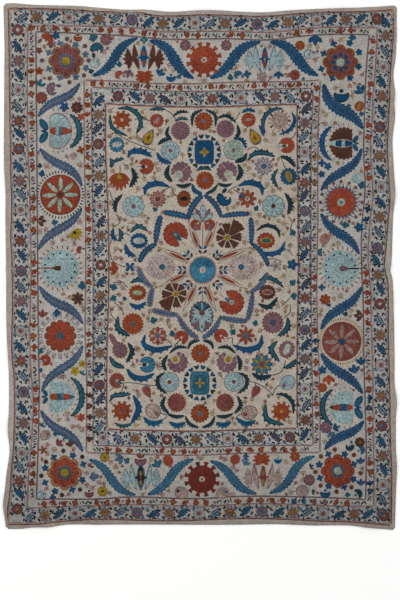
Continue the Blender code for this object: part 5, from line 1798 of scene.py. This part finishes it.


# Plain cotton weave: the ground colour with its painted shade, stained and slubbed, under two crossed sets of
# thread ridges
def cottonMaterial():
    material, tree, shader = newMaterial("handWovenCotton")
    place = addNode(tree, "ShaderNodeTexCoord").outputs["Object"]
    # The ground tone, with painted shade towards the lower end and right side
    toneWithShade = addNode(tree, "ShaderNodeAttribute", dict(attribute_name="toneWithShade")).outputs["Color"]
    stain = noiseFactor(tree, place, cotton["stainSize"], 0.86, 1.1)
    slub = noiseFactor(tree, place, cotton["slubSize"], 0.74, 1.16, 4.0)
    both = addNode(tree, "ShaderNodeMath", dict(operation="MULTIPLY"), {0: stain, 1: slub}).outputs["Value"]
    shade = addNode(tree, "ShaderNodeVectorMath", dict(operation="SCALE"), {0: toneWithShade, "Scale": both})
    tree.links.new(shade.outputs["Vector"], shader.inputs["Base Color"])
    shader.inputs["Roughness"].default_value = 0.92
    shader.inputs["Specular IOR Level"].default_value = 0.2
    weave = []
    for turn in (0, np.pi / 2):
        spun = addNode(tree, "ShaderNodeMapping", None, {"Vector": place}, Rotation=(0, 0, turn))
        wave = addNode(tree, "ShaderNodeTexWave", None, {"Vector": spun.outputs["Vector"]},
                       Scale=wavePitch / cotton["thread"], Distortion=0.6)
        weave.append(wave.outputs["Fac"])
    ridges = addNode(tree, "ShaderNodeMath", dict(operation="MAXIMUM"), {0: weave[0], 1: weave[1]})
    bump = addNode(tree, "ShaderNodeBump", None, {"Height": ridges.outputs["Value"]}, Strength=cotton["bump"],
                   Distance=ridgeHigh)
    tree.links.new(bump.outputs["Normal"], shader.inputs["Normal"])
    return material


# Silk floss, laid and couched: soft sheen, streaky along the stitch, faded unevenly, mottled by uneven dye
# and by painted shade of stitches lying different ways
silk = dict(fadeSize=0.10, streak=3.2 * mm, dyeAndShadeMottle=0.007, bump=0.35)


# Laid silk floss: the thread's own dye, streaked along each stitch, mottled partly by uneven dye and partly
# by painted shade of stitches lying different ways, with rounded thread ridges
def silkMaterial():
    material, tree, shader = newMaterial("laidSilkFloss")
    dye = addNode(tree, "ShaderNodeAttribute", dict(attribute_name="dye")).outputs["Color"]
    along = addNode(tree, "ShaderNodeUVMap", dict(uv_map="stitches")).outputs["UV"]
    place = addNode(tree, "ShaderNodeTexCoord").outputs["Object"]
    wave = addNode(tree, "ShaderNodeTexWave", dict(bands_direction="Y"), {"Vector": along},
                   Scale=wavePitch / silk["streak"], Distortion=1.5, Detail=2.0)
    streak = addNode(tree, "ShaderNodeMapRange", None, {"Value": wave.outputs["Fac"]})
    streak.inputs["To Min"].default_value = 0.84
    streak.inputs["To Max"].default_value = 1.1
    product = streak.outputs["Result"]
    # The fine mottle is partly uneven dye and partly painted shade of stitches lying different ways
    for size, low, high in [(silk["fadeSize"], 0.84, 1.14), (silk["dyeAndShadeMottle"], 0.5, 1.44)]:
        term = noiseFactor(tree, place, size, low, high)
        product = addNode(tree, "ShaderNodeMath", dict(operation="MULTIPLY"),
                          {0: product, 1: term}).outputs["Value"]
    shade = addNode(tree, "ShaderNodeVectorMath", dict(operation="SCALE"), {0: dye, "Scale": product})
    tree.links.new(shade.outputs["Vector"], shader.inputs["Base Color"])
    shader.inputs["Roughness"].default_value = 0.7
    shader.inputs["Specular IOR Level"].default_value = 0.1
    bump = addNode(tree, "ShaderNodeBump", None, {"Height": wave.outputs["Fac"]}, Strength=silk["bump"],
                   Distance=ridgeHigh)
    tree.links.new(bump.outputs["Normal"], shader.inputs["Normal"])
    return material


# Grid drawn in by its four edges, closer over the middle crease, thickened, with a fatter turned hem round it
def groundCloth():
    half, long = cloth["width"] / 2, cloth["length"] / 2
    hem = cloth["hemWide"]
    u = np.linspace(-half + hem * 1.4, half - hem * 1.4, cloth["cellsAcross"])
    u = np.concatenate([[-half, -half + hem], u, [half - hem, half]])
    v = np.linspace(-long + hem * 1.4, long - hem * 1.4, cloth["cellsAlong"])
    near = np.arange(-cloth["fineReach"], cloth["fineReach"] + 0.1 * mm, cloth["fineStep"])
    v = v[np.abs(v) > cloth["fineReach"] + 3 * mm]
    v = np.concatenate([[-long, -long + hem], v, near, [long - hem, long]])
    u, v = np.meshgrid(u, np.sort(v))
    across, upward = u / cloth["width"] + 0.5, v / cloth["length"] + 0.5
    y = v + (1 - upward) * inset("bottom", u) - upward * inset("top", u)
    x = u + (1 - across) * inset("left", y) - across * inset("right", y)
    corner = (np.abs(u) > half - 1e-6) & (np.abs(v) > long - 1e-6)
    x = np.where(corner, x - np.sign(x) * cloth["cornerDraw"], x)
    y = np.where(corner, y - np.sign(y) * cloth["cornerDraw"], y)
    inHem = (np.abs(u) >= half - hem - 1e-6) | (np.abs(v) >= long - hem - 1e-6)
    low = clothRise(x, y)
    high = np.where(inHem, low + cloth["hemThick"], clothTop(x, y))
    topPoints, quads = smoothGrid(x, y, high)
    lowPoints, _ = smoothGrid(x, y, low)
    rows, columns = x.shape
    index = np.arange(rows * columns).reshape(rows, columns)
    rim = np.concatenate([index[0, :-1], index[:-1, -1], index[-1, :0:-1], index[:0:-1, 0]])
    after = np.roll(rim, -1)
    shift = len(topPoints)
    walls = np.stack([rim + shift, after + shift, after, rim], -1)
    faces = np.concatenate([quads, quads[:, ::-1] + shift, walls])
    points = np.vstack([topPoints, lowPoints])
    piece = makeMesh("groundCloth", points, faces)
    # Ground tone per point, with the painted shade of the lower end and right side
    toneWithShade = piece.data.color_attributes.new("toneWithShade", "FLOAT_COLOR", "POINT")
    toneWithShade.data.foreach_set("color", groundTone(points[:, 0], points[:, 1]).astype(np.float32).ravel())
    flatArea = np.abs(np.sum(x[rim // columns, rim % columns] * y[after // columns, after % columns]
                             - x[after // columns, after % columns] * y[rim // columns, rim % columns])) / 2
    return piece, flatArea


# All patches of one piece as one mesh, laid on the cloth's upper face, with dye and stitch direction; the dye
# takes the ground's painted shade
def stitchedPiece(name, patches):
    xy, heights, colours, stitches, quads, tris = [], [], [], [], [], []
    count = 0
    for places, height, colour, grain, fourSided, threeSided in patches:
        n = len(places)
        c, s = np.cos(grain), np.sin(grain)
        middle = places.mean(0)
        offset = places - middle
        xy.append(places)
        heights.append(height)
        colours.append(np.broadcast_to(np.append(colour, 1.0), (n, 4)))
        stitches.append(np.stack([offset @ [c, s], offset @ [-s, c]], -1) + middle)
        quads.append(fourSided + count)
        tris.append(threeSided + count)
        count += n
    xy = np.concatenate(xy)
    z = clothTop(xy[:, 0], xy[:, 1]) + np.concatenate(heights)
    piece = makeMesh(name, np.column_stack([xy, z]), np.concatenate(quads), np.concatenate(tris))
    dye = piece.data.color_attributes.new("dye", "FLOAT_COLOR", "POINT")
    colours = np.concatenate(colours)
    # Painted shade: the dyes darker towards the lower end and right side, like the ground
    colours[:, :3] *= paintedShadeShare(xy[:, 0], xy[:, 1])[:, None]
    dye.data.foreach_set("color", colours.astype(np.float32).ravel())
    corners = np.empty(len(piece.data.loops), np.int32)
    piece.data.loops.foreach_get("vertex_index", corners)
    stitchMap = piece.data.uv_layers.new(name="stitches")
    stitchMap.data.foreach_set("uv", np.concatenate(stitches)[corners].astype(np.float32).ravel())
    return piece


ground, groundArea = groundCloth()
ground.data.materials.append(cottonMaterial())
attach(ground, "root")
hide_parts("ground_cloth")

flossed = silkMaterial()
for name, patches in sewn.items():
    piece = stitchedPiece(name, patches)
    piece.data.materials.append(flossed)
    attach(piece, "root")
    print("suzani:", name, len(patches), "patches,", sum(len(p.vertices) - 2 for p in piece.data.polygons),
          "triangles")

print("suzani: floor, light and camera")

# Pale floor, an overcast sky of even light and one soft lamp high on the left
studio = dict(floorSize=14.0, floorColour="#F4F4F3", sky=1.0, lampPower=60.0, lampSize=4.0,
              lampPlace=(-2.6, 2.4, 4.0), lens=80.0, sensor=36.0)


# Plain matt pale board
def studioFloor():
    half = studio["floorSize"] / 2
    x, y = np.meshgrid(np.linspace(-half, half, 9), np.linspace(-half, half, 9))
    xyz, quads = smoothGrid(x, y, np.full_like(x, -0.0002))
    floor = makeMesh("floor", xyz, quads)
    material, tree, shader = newMaterial("paleBoard")
    shader.inputs["Base Color"].default_value = rgba(studio["floorColour"])
    shader.inputs["Roughness"].default_value = 0.9
    shader.inputs["Specular IOR Level"].default_value = 0.1
    floor.data.materials.append(material)


# Even white sky, and one square lamp that faces the middle of the cloth
def studioLight():
    world = bpy.data.worlds.new("studio")
    bpy.context.scene.world = world
    world.use_nodes = True
    back = world.node_tree.nodes["Background"]
    back.inputs["Color"].default_value = (1, 1, 1, 1)
    back.inputs["Strength"].default_value = studio["sky"]
    lamp = bpy.data.lights.new("softLamp", "AREA")
    lamp.energy, lamp.size = studio["lampPower"], studio["lampSize"]
    holder = bpy.data.objects.new("softLamp", lamp)
    holder.location = studio["lampPlace"]
    holder.rotation_mode = "QUATERNION"
    holder.rotation_quaternion = (-Vector(studio["lampPlace"])).to_track_quat("-Z", "Y")
    bpy.context.scene.collection.objects.link(holder)


# Straight above the middle of the photograph, as far as its lens needs to take in the photograph's height
def studioCamera():
    lens = bpy.data.cameras.new("camera")
    lens.lens, lens.sensor_width = studio["lens"], studio["sensor"]
    high = photo["high"] * photo["pitch"]
    camera = bpy.data.objects.new("camera", lens)
    middle = at(photo["middleX"], photo["high"] / 2)
    camera.location = (middle[0], middle[1], high * studio["lens"] / studio["sensor"] + cloth["thick"])
    bpy.context.scene.collection.objects.link(camera)
    bpy.context.scene.camera = camera


studioFloor()
studioLight()
studioCamera()
bpy.context.scene.view_settings.view_transform = "Standard"
